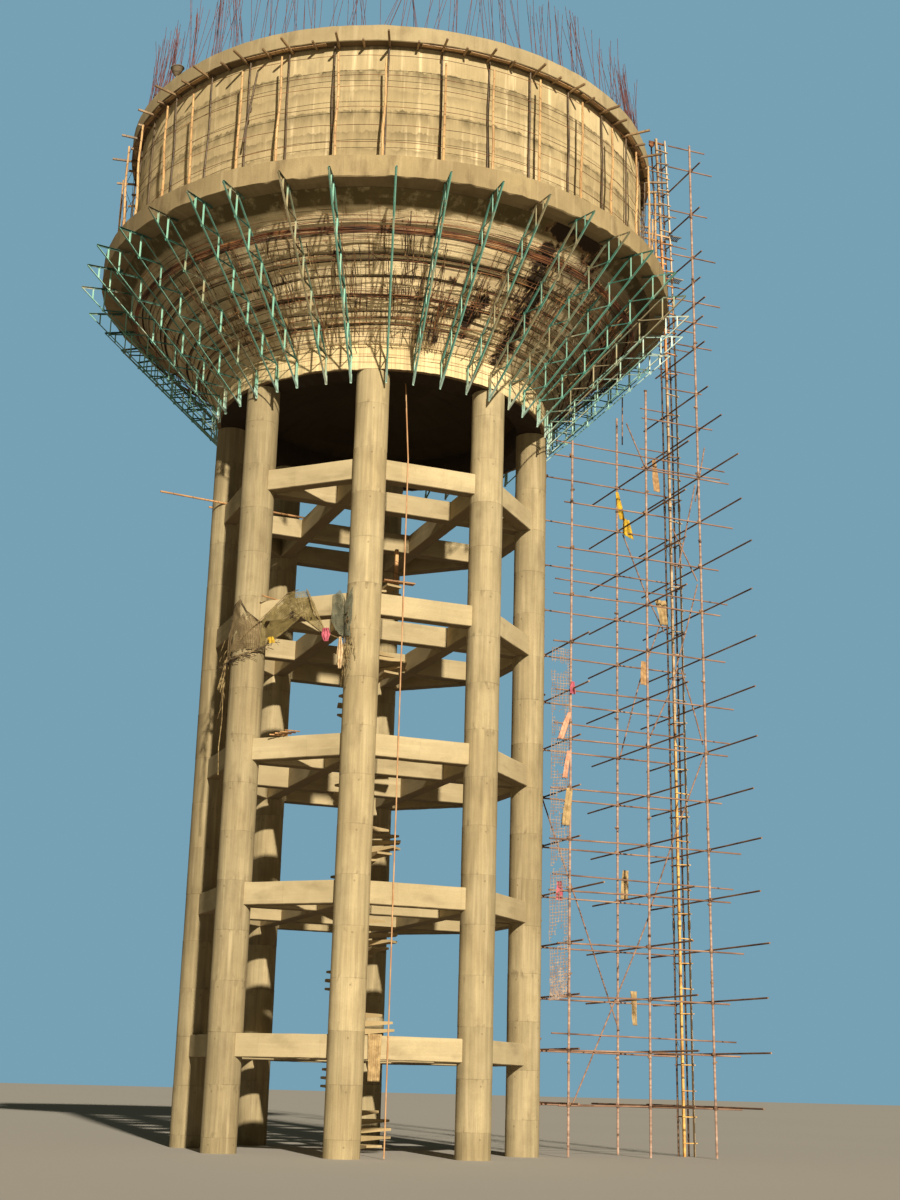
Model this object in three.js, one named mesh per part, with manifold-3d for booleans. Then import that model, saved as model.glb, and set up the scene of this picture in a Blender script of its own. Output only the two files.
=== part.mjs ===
// Elevated water tower of reinforced concrete, still being built: eight round columns braced at
// five levels carry a ring beam, a conical shell with a gallery, and an open round tank.
// Steel lattice frames from the formwork still hang under the cone, bamboo poles stand on the
// gallery, starter bars rise from the tank's top, and a hoist mast with a light scaffold stands
// beside it. Millimetres, +Z up. The origin is on the tower's axis at ground level.
// Plan angles are in degrees from the front (-Y) towards the right (+X).

import * as THREE from 'three';
import { mergeVertices } from 'three/addons/utils/BufferGeometryUtils.js';
import Module from 'manifold-3d';

const wasm = await Module();
wasm.setup();

// Clearance that touching pieces keep
const GAP = 0.3;

// Staging: columns and braces
const COLUMN_CIRCLE = 4200;
const COLUMN_RADIUS = 430;
const COLUMN_FACETS = 24;
const FIRST_COLUMN_ANGLE = 22.5;
const BRACE_WIDTH = 350;
const BRACE_DEPTH = 550;
const FIRST_BRACE_HEIGHT = 2450;
const BRACE_SPACING = 3535;
const BRACE_LEVELS = 5;

// Ring beam on the columns, and the dome that closes the tank's bottom
const RING_BEAM_BOTTOM = 19170;
const RING_BEAM_TOP = 19850;
const RING_BEAM_OUTER = 4600;
const RING_BEAM_INNER = 3800;
const DOME_RADIUS = 4150;
const DOME_RISE = 1200;
const DOME_THICKNESS = 180;
const DOME_STEPS = 4;

// Cone, gallery, wall and top kerb
const CONE_TOP_OUTER = 7500;
const CONE_WIDTH = 427;
const GALLERY_BOTTOM = 22720;
const GALLERY_TOP = 23310;
const GALLERY_OUTER = 8020;
const WALL_OUTER = 7270;
const WALL_INNER = 7070;
const KERB_BOTTOM = 26820;
const KERB_TOP = 27276;
const KERB_OUTER = 7520;
const RING_FACETS = 48;

// Spiral stair round a post on the axis
const STAIR_POST_RADIUS = 150;
const STAIR_RADIUS = 900;
const STAIR_RISE = 200;
const STAIR_TREADS = 73;
const STAIR_TREADS_PER_TURN = 12;
const TREAD_THICKNESS = 70;
const STAIR_POST_TOP = 15600;

// Lattice frames under the cone, five in each of eight bays
const FRAME_SPACING = 9;
const FRAMES_PER_BAY = 5;
const FRAME_BAR = 60;
const FRAME_PLATE = 50;
const FRAME_FOOT_HEIGHT = 18850;
const FRAME_TIP_RADIUS = 8510;
const FRAME_DEPTH = 630;
const FRAME_PANELS = 3;
const RUNNER_SIZE = 50;
const RUNNER_RADII = [5500, 7250];

// Bamboo poles on the gallery, every ten degrees, tied by hoops
const POLE_SPACING = 10;
const POLES_PER_QUARTER = 9;
const POLE_CIRCLE = 7740;
const POLE_RADIUS = 42;
const POLE_TOP = 26560;
const HOOP_SIZE = 40;
const HOOP_HEIGHTS = [24400, 25900];

// Starter bars that rise from the kerb, tied by one hoop
const BAR_CIRCLE = 7170;
const BAR_SIZE = 32;
const BAR_TOP = 30050;
const BAR_SPACING = 7.5;
const BARS_PER_QUARTER = 12;
const BAR_HOOP_HEIGHT = 28100;
const BAR_HOOP_SIZE = 26;

// Hoist mast: four legs joined by square frames
// Like the outer standard beside it, it leans towards the tower
const LEAN = -0.0125;
const MAST_CENTRE = new THREE.Vector2(9230, -420);
const MAST_HALF = 140;
const MAST_LEG = 50;
const MAST_TOP = 30400;
const MAST_FRAME_SPACING = 2240;
const MAST_FRAME_BAR = 40;
const MAST_TIE_HEIGHT = 27050;

// Light scaffold between the tower and the mast: three cross frames carry two rows of ledgers,
// and a long brace ties each row's ledgers. The far row is tied to the mast's back legs.
const TUBE = 50;
const LEDGER_SIZE = 44;
const TRANSOM_SIZE = 40;
const FAR_LEDGERS_Y = MAST_CENTRE.y + MAST_HALF + MAST_LEG / 2 + GAP + LEDGER_SIZE / 2;
const FAR_ROW = FAR_LEDGERS_Y + LEDGER_SIZE / 2 + GAP + TUBE / 2;
const NEAR_ROW = -2000;
const NEAR_LEDGERS_Y = NEAR_ROW + TUBE / 2 + GAP + LEDGER_SIZE / 2;
const INNER_FRAME = { x: 4970, nearTop: 19150, farTop: 19000 };
const MIDDLE_FRAME = { x: 7300, nearTop: 21100, farTop: 20900 };
const OUTER_STANDARD = 9230;
const OUTER_STANDARD_TOP = 29300;
const FIRST_LEDGER = 1250;
const LEDGER_SPACING = 2680;
const LEDGER_COUNT = 7;
const UPPER_LEVELS = 4;
const NEAR_LEDGER = [4500, 9900];
const FAR_LEDGER = [4150, 9550];
const LOWEST_FAR_LEDGER = [4700, 9550];
const TRANSOM = [-2900, 850];
const OUTER_TRANSOM = [-2900, -620];
const BRACE_FEET = [5150, 8850];

// Riser pipe that stands in front of the front braces and leans in over the topmost one
const RISER_RADIUS = 20;
const RISER_FACETS = 12;
const RISER_X = -650;
const RISER_BEND = 16950;
const RISER_TOP = new THREE.Vector3(-650, -3640, 19400);

// Torn debris net on the front left brace of the fourth level: outline along and above the brace
const NET_LEVEL = 3;
const NET_OFFSET = 60;
const NET_THICKNESS = 12;
const NET_OUTLINE = [
  [480, 12050], [520, 12850], [1180, 13430], [1750, 13480], [2330, 12980], [2680, 13400],
  [2740, 12150], [2250, 12200], [1620, 12780], [1120, 12400],
];

const SIDES = ['front', 'front_right', 'right', 'back_right', 'back', 'back_left', 'left', 'front_left'];
const SIDE_ANGLE = 45;
const COLUMN_NAMES = [
  'column_front_right', 'column_right_front', 'column_right_back', 'column_back_right',
  'column_back_left', 'column_left_back', 'column_left_front', 'column_front_left',
];

const tower = new THREE.Group();

const finishes = {
  concrete: { color: 0xc9b083, roughness: 0.92, metalness: 0 },
  darkConcrete: { color: 0x8d7858, roughness: 0.95, metalness: 0 },
  frameSteel: { color: 0x3f9a86, roughness: 0.55, metalness: 0.3 },
  bamboo: { color: 0xd9a55b, roughness: 0.7, metalness: 0 },
  rebar: { color: 0x7a3a35, roughness: 0.8, metalness: 0.4 },
  mastSteel: { color: 0xc98a4a, roughness: 0.7, metalness: 0.3 },
  scaffoldSteel: { color: 0x9c6b4e, roughness: 0.7, metalness: 0.4 },
  riser: { color: 0xd8a878, roughness: 0.5, metalness: 0 },
  net: { color: 0x8c7a52, roughness: 1, metalness: 0 },
};

function addPiece(name, geometry, finish) {
  const mesh = new THREE.Mesh(geometry, new THREE.MeshStandardMaterial(finish));
  mesh.name = name;
  tower.add(mesh);
}

// A closed geometry as a solid: its corners are merged, flat-out triangles are dropped, and it
// is turned the right way out
function toSolid(geometry) {
  const bare = geometry.clone();
  bare.deleteAttribute('normal');
  bare.deleteAttribute('uv');
  const merged = mergeVertices(bare, 0.01);
  const points = merged.attributes.position.array;
  const index = merged.index.array;
  const kept = [];
  let volume = 0;
  const a = new THREE.Vector3();
  const b = new THREE.Vector3();
  const c = new THREE.Vector3();
  for (let i = 0; i < index.length; i += 3) {
    const [p, q, r] = index.slice(i, i + 3);
    if (p === q || q === r || r === p) continue;
    kept.push(p, q, r);
    a.fromArray(points, 3 * p);
    b.fromArray(points, 3 * q);
    c.fromArray(points, 3 * r);
    volume += a.dot(b.cross(c));
  }
  if (volume < 0) kept.reverse();
  return new wasm.Manifold(new wasm.Mesh({
    numProp: 3,
    vertProperties: new Float32Array(points),
    triVerts: new Uint32Array(kept),
  }));
}

function toGeometry(solid) {
  const mesh = solid.getMesh();
  const geometry = new THREE.BufferGeometry();
  geometry.setAttribute('position', new THREE.BufferAttribute(mesh.vertProperties, 3));
  geometry.setIndex(new THREE.BufferAttribute(mesh.triVerts, 1));
  geometry.computeVertexNormals();
  return geometry;
}

function join(geometries) {
  let solid = toSolid(geometries[0]);
  for (const geometry of geometries.slice(1)) solid = solid.add(toSolid(geometry));
  return solid;
}

// The point at a plan angle and a distance from the axis
function plan(angle, radius) {
  const turn = THREE.MathUtils.degToRad(angle);
  return new THREE.Vector2(radius * Math.sin(turn), -radius * Math.cos(turn));
}

function upright(x, y, bottom, top, size) {
  return new THREE.BoxGeometry(size, size, top - bottom).translate(x, y, (bottom + top) / 2);
}

// Where something that stands at x on the ground has leaned to at a height
function leanAt(x, height) {
  return x + LEAN * height;
}

function leaning(geometry) {
  return geometry.applyMatrix4(new THREE.Matrix4().makeShear(0, 0, 0, 0, LEAN, 0));
}

// A level bar of square or oblong section between two plan points
function levelBar(from, to, height, width, depth) {
  const along = to.clone().sub(from);
  const middle = from.clone().add(to).multiplyScalar(0.5);
  return new THREE.BoxGeometry(along.length(), width, depth)
    .rotateZ(along.angle())
    .translate(middle.x, middle.y, height);
}

// A ring turned round the axis from a closed outline of [radius, height] corners
function ring(outline) {
  const points = outline.map(([radius, height]) => new THREE.Vector2(radius, height));
  const closed = points[0].x === 0 ? points : [...points, points[0].clone()];
  return new THREE.LatheGeometry(closed, RING_FACETS).rotateX(Math.PI / 2);
}

// A wedge of the space round the axis, one side's share, that leaves the gap to its neighbours
function wedge(side) {
  const middle = side * SIDE_ANGLE;
  const half = SIDE_ANGLE / 2;
  const corner = plan(middle, GAP / 2 / Math.sin(THREE.MathUtils.degToRad(half)));
  const reach = 2 * GALLERY_OUTER;
  const rim = [-half, 0, half].map((offset) => plan(middle + offset, reach).add(corner));
  const shape = new THREE.Shape([corner, ...rim]);
  return new THREE.ExtrudeGeometry(shape, { depth: 2 * KERB_TOP, bevelEnabled: false });
}

function columnAngle(index) {
  return FIRST_COLUMN_ANGLE + index * SIDE_ANGLE;
}

// How far the outer face of the perimeter beams is from the axis
function chordFace() {
  const half = THREE.MathUtils.degToRad(SIDE_ANGLE / 2);
  return COLUMN_CIRCLE * Math.cos(half) + BRACE_WIDTH / 2;
}

function columnShaft(index, radius) {
  const height = RING_BEAM_BOTTOM - GAP;
  const foot = plan(columnAngle(index), COLUMN_CIRCLE);
  return new THREE.CylinderGeometry(radius, radius, height, COLUMN_FACETS)
    .rotateX(Math.PI / 2)
    .translate(foot.x, foot.y, height / 2);
}

function braceHeight(level) {
  return FIRST_BRACE_HEIGHT + level * BRACE_SPACING;
}

function chordBeam(index, level, extra) {
  const from = plan(columnAngle(index), COLUMN_CIRCLE);
  const to = plan(columnAngle(index + 1), COLUMN_CIRCLE);
  return levelBar(from, to, braceHeight(level), BRACE_WIDTH + extra, BRACE_DEPTH + extra);
}

// Each column is cast together with the five beams that run from it to the next column
function addColumns() {
  const levels = Array.from({ length: BRACE_LEVELS }, (_, level) => level);
  COLUMN_NAMES.forEach((name, index) => {
    const beams = levels.map((level) => chordBeam(index, level, 0));
    const cast = join([columnShaft(index, COLUMN_RADIUS), ...beams]);
    const neighbour = toSolid(columnShaft(index + 1, COLUMN_RADIUS + GAP));
    addPiece(name, toGeometry(cast.subtract(neighbour)), finishes.concrete);
  });
}

// Each level also has four beams that cross inside the ring of columns, two each way
function addCrossBraces() {
  const reachAcross = COLUMN_CIRCLE * Math.cos(THREE.MathUtils.degToRad(FIRST_COLUMN_ANGLE));
  const aside = COLUMN_CIRCLE * Math.sin(THREE.MathUtils.degToRad(FIRST_COLUMN_ANGLE));
  for (let level = 0; level < BRACE_LEVELS; level += 1) {
    const height = braceHeight(level);
    const beams = [];
    for (const offset of [-aside, aside]) {
      const ends = [-reachAcross, reachAcross];
      const [start, end] = ends.map((reach) => new THREE.Vector2(offset, reach));
      beams.push(levelBar(start, end, height, BRACE_WIDTH, BRACE_DEPTH));
      const [left, right] = ends.map((reach) => new THREE.Vector2(reach, offset));
      beams.push(levelBar(left, right, height, BRACE_WIDTH, BRACE_DEPTH));
    }
    let solid = join(beams);
    for (let index = 0; index < COLUMN_NAMES.length; index += 1) {
      solid = solid.subtract(toSolid(columnShaft(index, COLUMN_RADIUS + GAP)));
      solid = solid.subtract(toSolid(chordBeam(index, level, 2 * GAP)));
    }
    addPiece(`cross_brace_${level + 1}`, toGeometry(solid), finishes.concrete);
  }
}

function addRings() {
  const beam = ring([
    [RING_BEAM_INNER, RING_BEAM_BOTTOM], [RING_BEAM_OUTER, RING_BEAM_BOTTOM],
    [RING_BEAM_OUTER, RING_BEAM_TOP], [RING_BEAM_INNER, RING_BEAM_TOP],
  ]);
  addPiece('ring_beam', toGeometry(toSolid(beam)), finishes.concrete);
  const gallery = ring([
    [WALL_INNER, GALLERY_BOTTOM], [GALLERY_OUTER, GALLERY_BOTTOM],
    [GALLERY_OUTER, GALLERY_TOP], [WALL_INNER, GALLERY_TOP],
  ]);
  addPiece('gallery_ring', toGeometry(toSolid(gallery)), finishes.concrete);
  const kerb = ring([
    [WALL_INNER, KERB_BOTTOM], [KERB_OUTER, KERB_BOTTOM],
    [KERB_OUTER, KERB_TOP], [WALL_INNER, KERB_TOP],
  ]);
  addPiece('top_kerb', toGeometry(toSolid(kerb)), finishes.concrete);
}

// The bottom dome: a spherical shell that springs from the ring beam's top
function addDome() {
  const base = RING_BEAM_TOP + GAP;
  const sphere = (DOME_RADIUS ** 2 + DOME_RISE ** 2) / (2 * DOME_RISE);
  const centre = base + DOME_RISE - sphere;
  const arc = (radius) => {
    const spring = Math.acos((base - centre) / radius);
    return Array.from({ length: DOME_STEPS + 1 }, (_, step) => {
      const angle = spring * (1 - step / DOME_STEPS);
      return [radius * Math.sin(angle), centre + radius * Math.cos(angle)];
    });
  };
  const outer = arc(sphere).reverse();
  const inner = arc(sphere - DOME_THICKNESS);
  outer[0][0] = 0;
  inner[DOME_STEPS][0] = 0;
  addPiece('bottom_dome', toGeometry(toSolid(ring([...outer, ...inner]))), finishes.darkConcrete);
}

function addTankSides() {
  const cone = toSolid(ring([
    [RING_BEAM_OUTER - CONE_WIDTH, RING_BEAM_TOP + GAP], [RING_BEAM_OUTER, RING_BEAM_TOP + GAP],
    [CONE_TOP_OUTER, GALLERY_BOTTOM - GAP], [CONE_TOP_OUTER - CONE_WIDTH, GALLERY_BOTTOM - GAP],
  ]));
  const wall = toSolid(ring([
    [WALL_INNER, GALLERY_TOP + GAP], [WALL_OUTER, GALLERY_TOP + GAP],
    [WALL_OUTER, KERB_BOTTOM - GAP], [WALL_INNER, KERB_BOTTOM - GAP],
  ]));
  SIDES.forEach((side, index) => {
    const share = toSolid(wedge(index));
    addPiece(`cone_${side}`, toGeometry(cone.intersect(share)), finishes.darkConcrete);
    addPiece(`tank_wall_${side}`, toGeometry(wall.intersect(share)), finishes.concrete);
  });
}

function addStair() {
  const post = new THREE.CylinderGeometry(STAIR_POST_RADIUS, STAIR_POST_RADIUS, STAIR_POST_TOP, 8)
    .rotateX(Math.PI / 2)
    .translate(0, 0, STAIR_POST_TOP / 2);
  const step = 360 / STAIR_TREADS_PER_TURN;
  const treads = Array.from({ length: STAIR_TREADS }, (_, index) => {
    const start = index * step;
    const end = start + step;
    const inner = STAIR_POST_RADIUS / 2;
    const shape = new THREE.Shape([
      plan(start, inner), plan(start, STAIR_RADIUS), plan(end, STAIR_RADIUS), plan(end, inner),
    ]);
    const height = (index + 1) * STAIR_RISE - TREAD_THICKNESS;
    return new THREE.ExtrudeGeometry(shape, { depth: TREAD_THICKNESS, bevelEnabled: false })
      .translate(0, 0, height);
  });
  addPiece('spiral_stair', toGeometry(join([post, ...treads])), finishes.concrete);
}

// The centre lines of one frame in its own upright plane: [radius, height]
const frameInner = RING_BEAM_OUTER + GAP + FRAME_BAR / 2;
const frameTop = GALLERY_BOTTOM - GAP - FRAME_BAR / 2;
const frameSlope = (frameTop - FRAME_FOOT_HEIGHT) / (FRAME_TIP_RADIUS - frameInner);

function lowerChord(radius) {
  return FRAME_FOOT_HEIGHT + (radius - frameInner) * frameSlope;
}

// Moves the sides of a closed outline outwards by a distance, or inwards by a negative one
function offsetOutline(points, distance) {
  const turn = THREE.ShapeUtils.isClockWise(points) ? -1 : 1;
  return points.map((point, index) => {
    const before = points[(index + points.length - 1) % points.length];
    const after = points[(index + 1) % points.length];
    const back = point.clone().sub(before).normalize();
    const on = after.clone().sub(point).normalize();
    const normalBack = new THREE.Vector2(back.y, -back.x).multiplyScalar(turn);
    const normalOn = new THREE.Vector2(on.y, -on.x).multiplyScalar(turn);
    const middle = normalBack.clone().add(normalOn).normalize();
    return point.clone().addScaledVector(middle, distance / middle.dot(normalOn));
  });
}

function framePlate(angle) {
  const corner = (radius, above) => new THREE.Vector2(radius, lowerChord(radius) + above);
  const tip = corner(FRAME_TIP_RADIUS, 0);
  const shoulderRadius = FRAME_TIP_RADIUS - FRAME_DEPTH / frameSlope;
  const shoulder = corner(shoulderRadius, FRAME_DEPTH);
  const foot = corner(frameInner, 0);
  const heel = corner(frameInner, FRAME_DEPTH);
  const shape = new THREE.Shape(offsetOutline([foot, tip, shoulder, heel], FRAME_BAR / 2));
  const length = shoulderRadius - frameInner;
  for (let panel = 0; panel < FRAME_PANELS; panel += 1) {
    const start = frameInner + (length * panel) / FRAME_PANELS;
    const end = frameInner + (length * (panel + 1)) / FRAME_PANELS;
    const openings = [
      [corner(start, 0), corner(end, 0), corner(start, FRAME_DEPTH)],
      [corner(end, 0), corner(end, FRAME_DEPTH), corner(start, FRAME_DEPTH)],
    ];
    for (const opening of openings) {
      shape.holes.push(new THREE.Path(offsetOutline(opening, -FRAME_BAR / 2)));
    }
  }
  const last = [corner(shoulderRadius, 0), tip, shoulder];
  shape.holes.push(new THREE.Path(offsetOutline(last, -FRAME_BAR / 2)));
  return new THREE.ExtrudeGeometry(shape, { depth: FRAME_PLATE, bevelEnabled: false })
    .translate(0, 0, -FRAME_PLATE / 2)
    .rotateX(Math.PI / 2)
    .rotateZ(THREE.MathUtils.degToRad(angle - 90));
}

// A flat bar that follows an arc round the axis
function arcBar(radius, height, fromAngle, toAngle, steps, size) {
  const stops = Array.from({ length: steps + 1 }, (_, step) => (
    fromAngle + ((toAngle - fromAngle) * step) / steps
  ));
  const outer = stops.map((angle) => plan(angle, radius + size / 2));
  const inner = stops.map((angle) => plan(angle, radius - size / 2)).reverse();
  return new THREE.ExtrudeGeometry(new THREE.Shape([...outer, ...inner]), {
    depth: size,
    bevelEnabled: false,
  }).translate(0, 0, height - size / 2);
}

function addFormworkFrames() {
  SIDES.forEach((side, index) => {
    const middle = index * SIDE_ANGLE;
    const first = middle - (FRAME_SPACING * (FRAMES_PER_BAY - 1)) / 2;
    const last = middle + (FRAME_SPACING * (FRAMES_PER_BAY - 1)) / 2;
    const plates = Array.from({ length: FRAMES_PER_BAY }, (_, frame) => (
      framePlate(first + frame * FRAME_SPACING)
    ));
    const runners = RUNNER_RADII.map((radius) => {
      const height = lowerChord(radius) + FRAME_DEPTH + FRAME_BAR / 2;
      return arcBar(radius, height, first, last, FRAMES_PER_BAY - 1, RUNNER_SIZE);
    });
    addPiece(`formwork_frames_${side}`, toGeometry(join([...plates, ...runners])), finishes.frameSteel);
  });
}

const QUARTERS = ['front', 'right', 'back', 'left'];

function addGalleryPoles() {
  const base = GALLERY_TOP + GAP;
  QUARTERS.forEach((quarter, index) => {
    const middle = index * 90;
    const reach = (POLES_PER_QUARTER - 1) / 2 * POLE_SPACING;
    const poles = Array.from({ length: POLES_PER_QUARTER }, (_, pole) => {
      const foot = plan(middle - reach + pole * POLE_SPACING, POLE_CIRCLE);
      return upright(foot.x, foot.y, base, POLE_TOP, 2 * POLE_RADIUS);
    });
    const hoops = HOOP_HEIGHTS.map((height) => (
      arcBar(POLE_CIRCLE, height, middle - reach, middle + reach, POLES_PER_QUARTER - 1, HOOP_SIZE)
    ));
    addPiece(`gallery_poles_${quarter}`, toGeometry(join([...poles, ...hoops])), finishes.bamboo);
  });
}

function addStarterBars() {
  const base = KERB_TOP + GAP;
  QUARTERS.forEach((quarter, index) => {
    const middle = index * 90;
    const reach = (BARS_PER_QUARTER - 1) / 2 * BAR_SPACING;
    const bars = Array.from({ length: BARS_PER_QUARTER }, (_, bar) => {
      const foot = plan(middle - reach + bar * BAR_SPACING, BAR_CIRCLE);
      return upright(foot.x, foot.y, base, BAR_TOP, BAR_SIZE);
    });
    const hoop = arcBar(
      BAR_CIRCLE, BAR_HOOP_HEIGHT, middle - reach, middle + reach, BARS_PER_QUARTER - 1, BAR_HOOP_SIZE,
    );
    addPiece(`starter_bars_${quarter}`, toGeometry(join([...bars, hoop])), finishes.rebar);
  });
}

// A level square frame that ties the mast's four legs
function mastFrame(height) {
  const outer = MAST_HALF + MAST_FRAME_BAR / 2;
  const inner = MAST_HALF - MAST_FRAME_BAR / 2;
  const square = (half) => [[-half, -half], [half, -half], [half, half], [-half, half]]
    .map(([x, y]) => new THREE.Vector2(x, y).add(MAST_CENTRE));
  const shape = new THREE.Shape(square(outer));
  shape.holes.push(new THREE.Path(square(inner)));
  return new THREE.ExtrudeGeometry(shape, { depth: MAST_FRAME_BAR, bevelEnabled: false })
    .translate(0, 0, height);
}

function addMast() {
  const pieces = [];
  for (const x of [-MAST_HALF, MAST_HALF]) {
    for (const y of [-MAST_HALF, MAST_HALF]) {
      pieces.push(upright(MAST_CENTRE.x + x, MAST_CENTRE.y + y, 0, MAST_TOP, MAST_LEG));
    }
  }
  for (let height = MAST_FRAME_SPACING; height < MAST_TOP; height += MAST_FRAME_SPACING) {
    pieces.push(mastFrame(height));
  }
  // Two ties hold the mast against the kerb
  const mast = toSolid(leaning(toGeometry(join(pieces))));
  const ties = [-MAST_HALF, MAST_HALF].map((row) => {
    const y = MAST_CENTRE.y + row;
    const from = new THREE.Vector2(0.9 * KERB_OUTER, y);
    const to = new THREE.Vector2(leanAt(MAST_CENTRE.x, MAST_TIE_HEIGHT) + MAST_HALF, y);
    return levelBar(from, to, MAST_TIE_HEIGHT, MAST_FRAME_BAR, MAST_FRAME_BAR);
  });
  const kerb = ring([
    [0, KERB_BOTTOM - GAP], [KERB_OUTER + GAP, KERB_BOTTOM - GAP],
    [KERB_OUTER + GAP, KERB_TOP + GAP], [0, KERB_TOP + GAP],
  ]);
  addPiece('hoist_mast', toGeometry(mast.add(join(ties).subtract(toSolid(kerb)))), finishes.mastSteel);
}

function transoms([start, end], frameX, count) {
  return Array.from({ length: count }, (_, level) => {
    const height = FIRST_LEDGER + level * LEDGER_SPACING + LEDGER_SIZE / 2 + GAP + TRANSOM_SIZE / 2;
    const x = frameX(height);
    return levelBar(
      new THREE.Vector2(x, start), new THREE.Vector2(x, end), height, TRANSOM_SIZE, TRANSOM_SIZE,
    );
  });
}

// One row's ledgers, level by level, with a slanted brace that crosses them all
function ledgerRow(y, extents) {
  const ledgers = extents.map(([start, end], level) => levelBar(
    new THREE.Vector2(start, y), new THREE.Vector2(end, y),
    FIRST_LEDGER + level * LEDGER_SPACING, LEDGER_SIZE, LEDGER_SIZE,
  ));
  const [low, high] = BRACE_FEET;
  const rise = (extents.length - 1) * LEDGER_SPACING;
  const slope = Math.atan2(rise, high - low);
  const brace = new THREE.BoxGeometry(Math.hypot(rise, high - low), TRANSOM_SIZE, TRANSOM_SIZE)
    .rotateY(-slope)
    .translate((low + high) / 2, y, FIRST_LEDGER + rise / 2);
  return toGeometry(join([...ledgers, brace]));
}

function addScaffold() {
  const finish = finishes.scaffoldSteel;
  for (const [name, { x, nearTop, farTop }] of [['inner', INNER_FRAME], ['middle', MIDDLE_FRAME]]) {
    const standards = [
      upright(x, NEAR_ROW, 0, nearTop, TUBE), upright(x, FAR_ROW, 0, farTop, TUBE),
    ];
    const frame = join([...standards, ...transoms(TRANSOM, () => x, LEDGER_COUNT)]);
    addPiece(`scaffold_frame_${name}`, toGeometry(frame), finish);
  }
  const outer = join([
    upright(OUTER_STANDARD, NEAR_ROW, 0, OUTER_STANDARD_TOP, TUBE),
    ...transoms(OUTER_TRANSOM, () => OUTER_STANDARD, LEDGER_COUNT + UPPER_LEVELS),
  ]);
  addPiece('scaffold_frame_outer', leaning(toGeometry(outer)), finish);
  const near = Array.from({ length: LEDGER_COUNT }, () => NEAR_LEDGER);
  addPiece('scaffold_ledgers_near', ledgerRow(NEAR_LEDGERS_Y, near), finish);
  const far = Array.from({ length: LEDGER_COUNT }, (_, level) => (
    level === 0 ? LOWEST_FAR_LEDGER : FAR_LEDGER
  ));
  addPiece('scaffold_ledgers_far', ledgerRow(FAR_LEDGERS_Y, far), finish);
}

function addRiser() {
  const y = -chordFace() - GAP - RISER_RADIUS;
  const foot = new THREE.CylinderGeometry(RISER_RADIUS, RISER_RADIUS, RISER_BEND, RISER_FACETS)
    .rotateX(Math.PI / 2)
    .translate(RISER_X, y, RISER_BEND / 2);
  const bend = new THREE.Vector3(RISER_X, y, RISER_BEND);
  const along = RISER_TOP.clone().sub(bend);
  const length = along.length() + RISER_RADIUS;
  const head = new THREE.CylinderGeometry(RISER_RADIUS, RISER_RADIUS, length, RISER_FACETS)
    .translate(0, length / 2 - RISER_RADIUS, 0)
    .rotateX(Math.atan2(along.z, along.y))
    .translate(bend.x, bend.y, bend.z);
  addPiece('riser_pipe', toGeometry(join([foot, head])), finishes.riser);
}

// The net hangs just clear of the outer face of the brace between the two front left columns
function addNet() {
  const from = plan(columnAngle(6), COLUMN_CIRCLE);
  const to = plan(columnAngle(7), COLUMN_CIRCLE);
  const along = to.clone().sub(from).angle();
  const outline = NET_OUTLINE.map(([reach, height]) => (
    new THREE.Vector2(reach, height - FIRST_BRACE_HEIGHT - NET_LEVEL * BRACE_SPACING)
  ));
  const sheet = new THREE.ExtrudeGeometry(new THREE.Shape(outline), {
    depth: NET_THICKNESS,
    bevelEnabled: false,
  }).translate(0, 0, BRACE_WIDTH / 2 + GAP)
    .rotateX(Math.PI / 2)
    .rotateZ(along)
    .translate(from.x, from.y, FIRST_BRACE_HEIGHT + NET_LEVEL * BRACE_SPACING);
  const clear = toSolid(sheet).subtract(toSolid(columnShaft(6, COLUMN_RADIUS + NET_OFFSET / 2)))
    .subtract(toSolid(columnShaft(7, COLUMN_RADIUS + NET_OFFSET / 2)));
  addPiece('debris_net', toGeometry(clear), finishes.net);
}

addColumns();
addCrossBraces();
addRings();
addDome();
addTankSides();
addStair();
addFormworkFrames();
addGalleryPoles();
addStarterBars();
addMast();
addScaffold();
addRiser();
addNet();

export default tower;
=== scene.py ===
import math
import random

import bpy
import numpy as np
from mathutils import Matrix, Vector, noise


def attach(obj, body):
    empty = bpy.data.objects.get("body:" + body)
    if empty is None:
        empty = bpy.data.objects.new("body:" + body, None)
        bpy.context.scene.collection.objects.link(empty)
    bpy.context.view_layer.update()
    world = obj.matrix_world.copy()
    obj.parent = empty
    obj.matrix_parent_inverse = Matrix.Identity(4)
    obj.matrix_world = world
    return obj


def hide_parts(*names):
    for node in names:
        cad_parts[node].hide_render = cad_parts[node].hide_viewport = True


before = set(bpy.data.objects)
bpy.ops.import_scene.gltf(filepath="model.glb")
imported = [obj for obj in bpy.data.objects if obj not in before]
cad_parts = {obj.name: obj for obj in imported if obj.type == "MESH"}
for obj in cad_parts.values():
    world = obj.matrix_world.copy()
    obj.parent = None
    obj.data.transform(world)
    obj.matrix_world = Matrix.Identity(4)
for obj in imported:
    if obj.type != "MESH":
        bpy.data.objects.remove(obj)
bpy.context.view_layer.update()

# The view: a person's eye height, in front of the tower and a little to its left, looking up
# so that the whole tower fills the upright frame.
eye = Vector((-14.306, -42.169, 1.6))
gaze = Vector((0.3501, 0.8949, 0.2769))
roll = math.radians(1.528)


def placed(name, data):
    """An object in the scene that holds a mesh, a light or a camera."""
    thing = bpy.data.objects.new(name, data)
    bpy.context.collection.objects.link(thing)
    return thing


lens = bpy.data.cameras.new("view")
lens.sensor_fit = "VERTICAL"
lens.sensor_height = 24.0
lens.lens = 33.86
lens.clip_end = 1000.0
camera = placed("view", lens)
upright = gaze.to_track_quat("-Z", "Y").to_matrix().to_4x4()
camera.matrix_world = Matrix.Translation(eye) @ upright @ Matrix.Rotation(roll, 4, "Z")
bpy.context.scene.camera = camera

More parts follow.
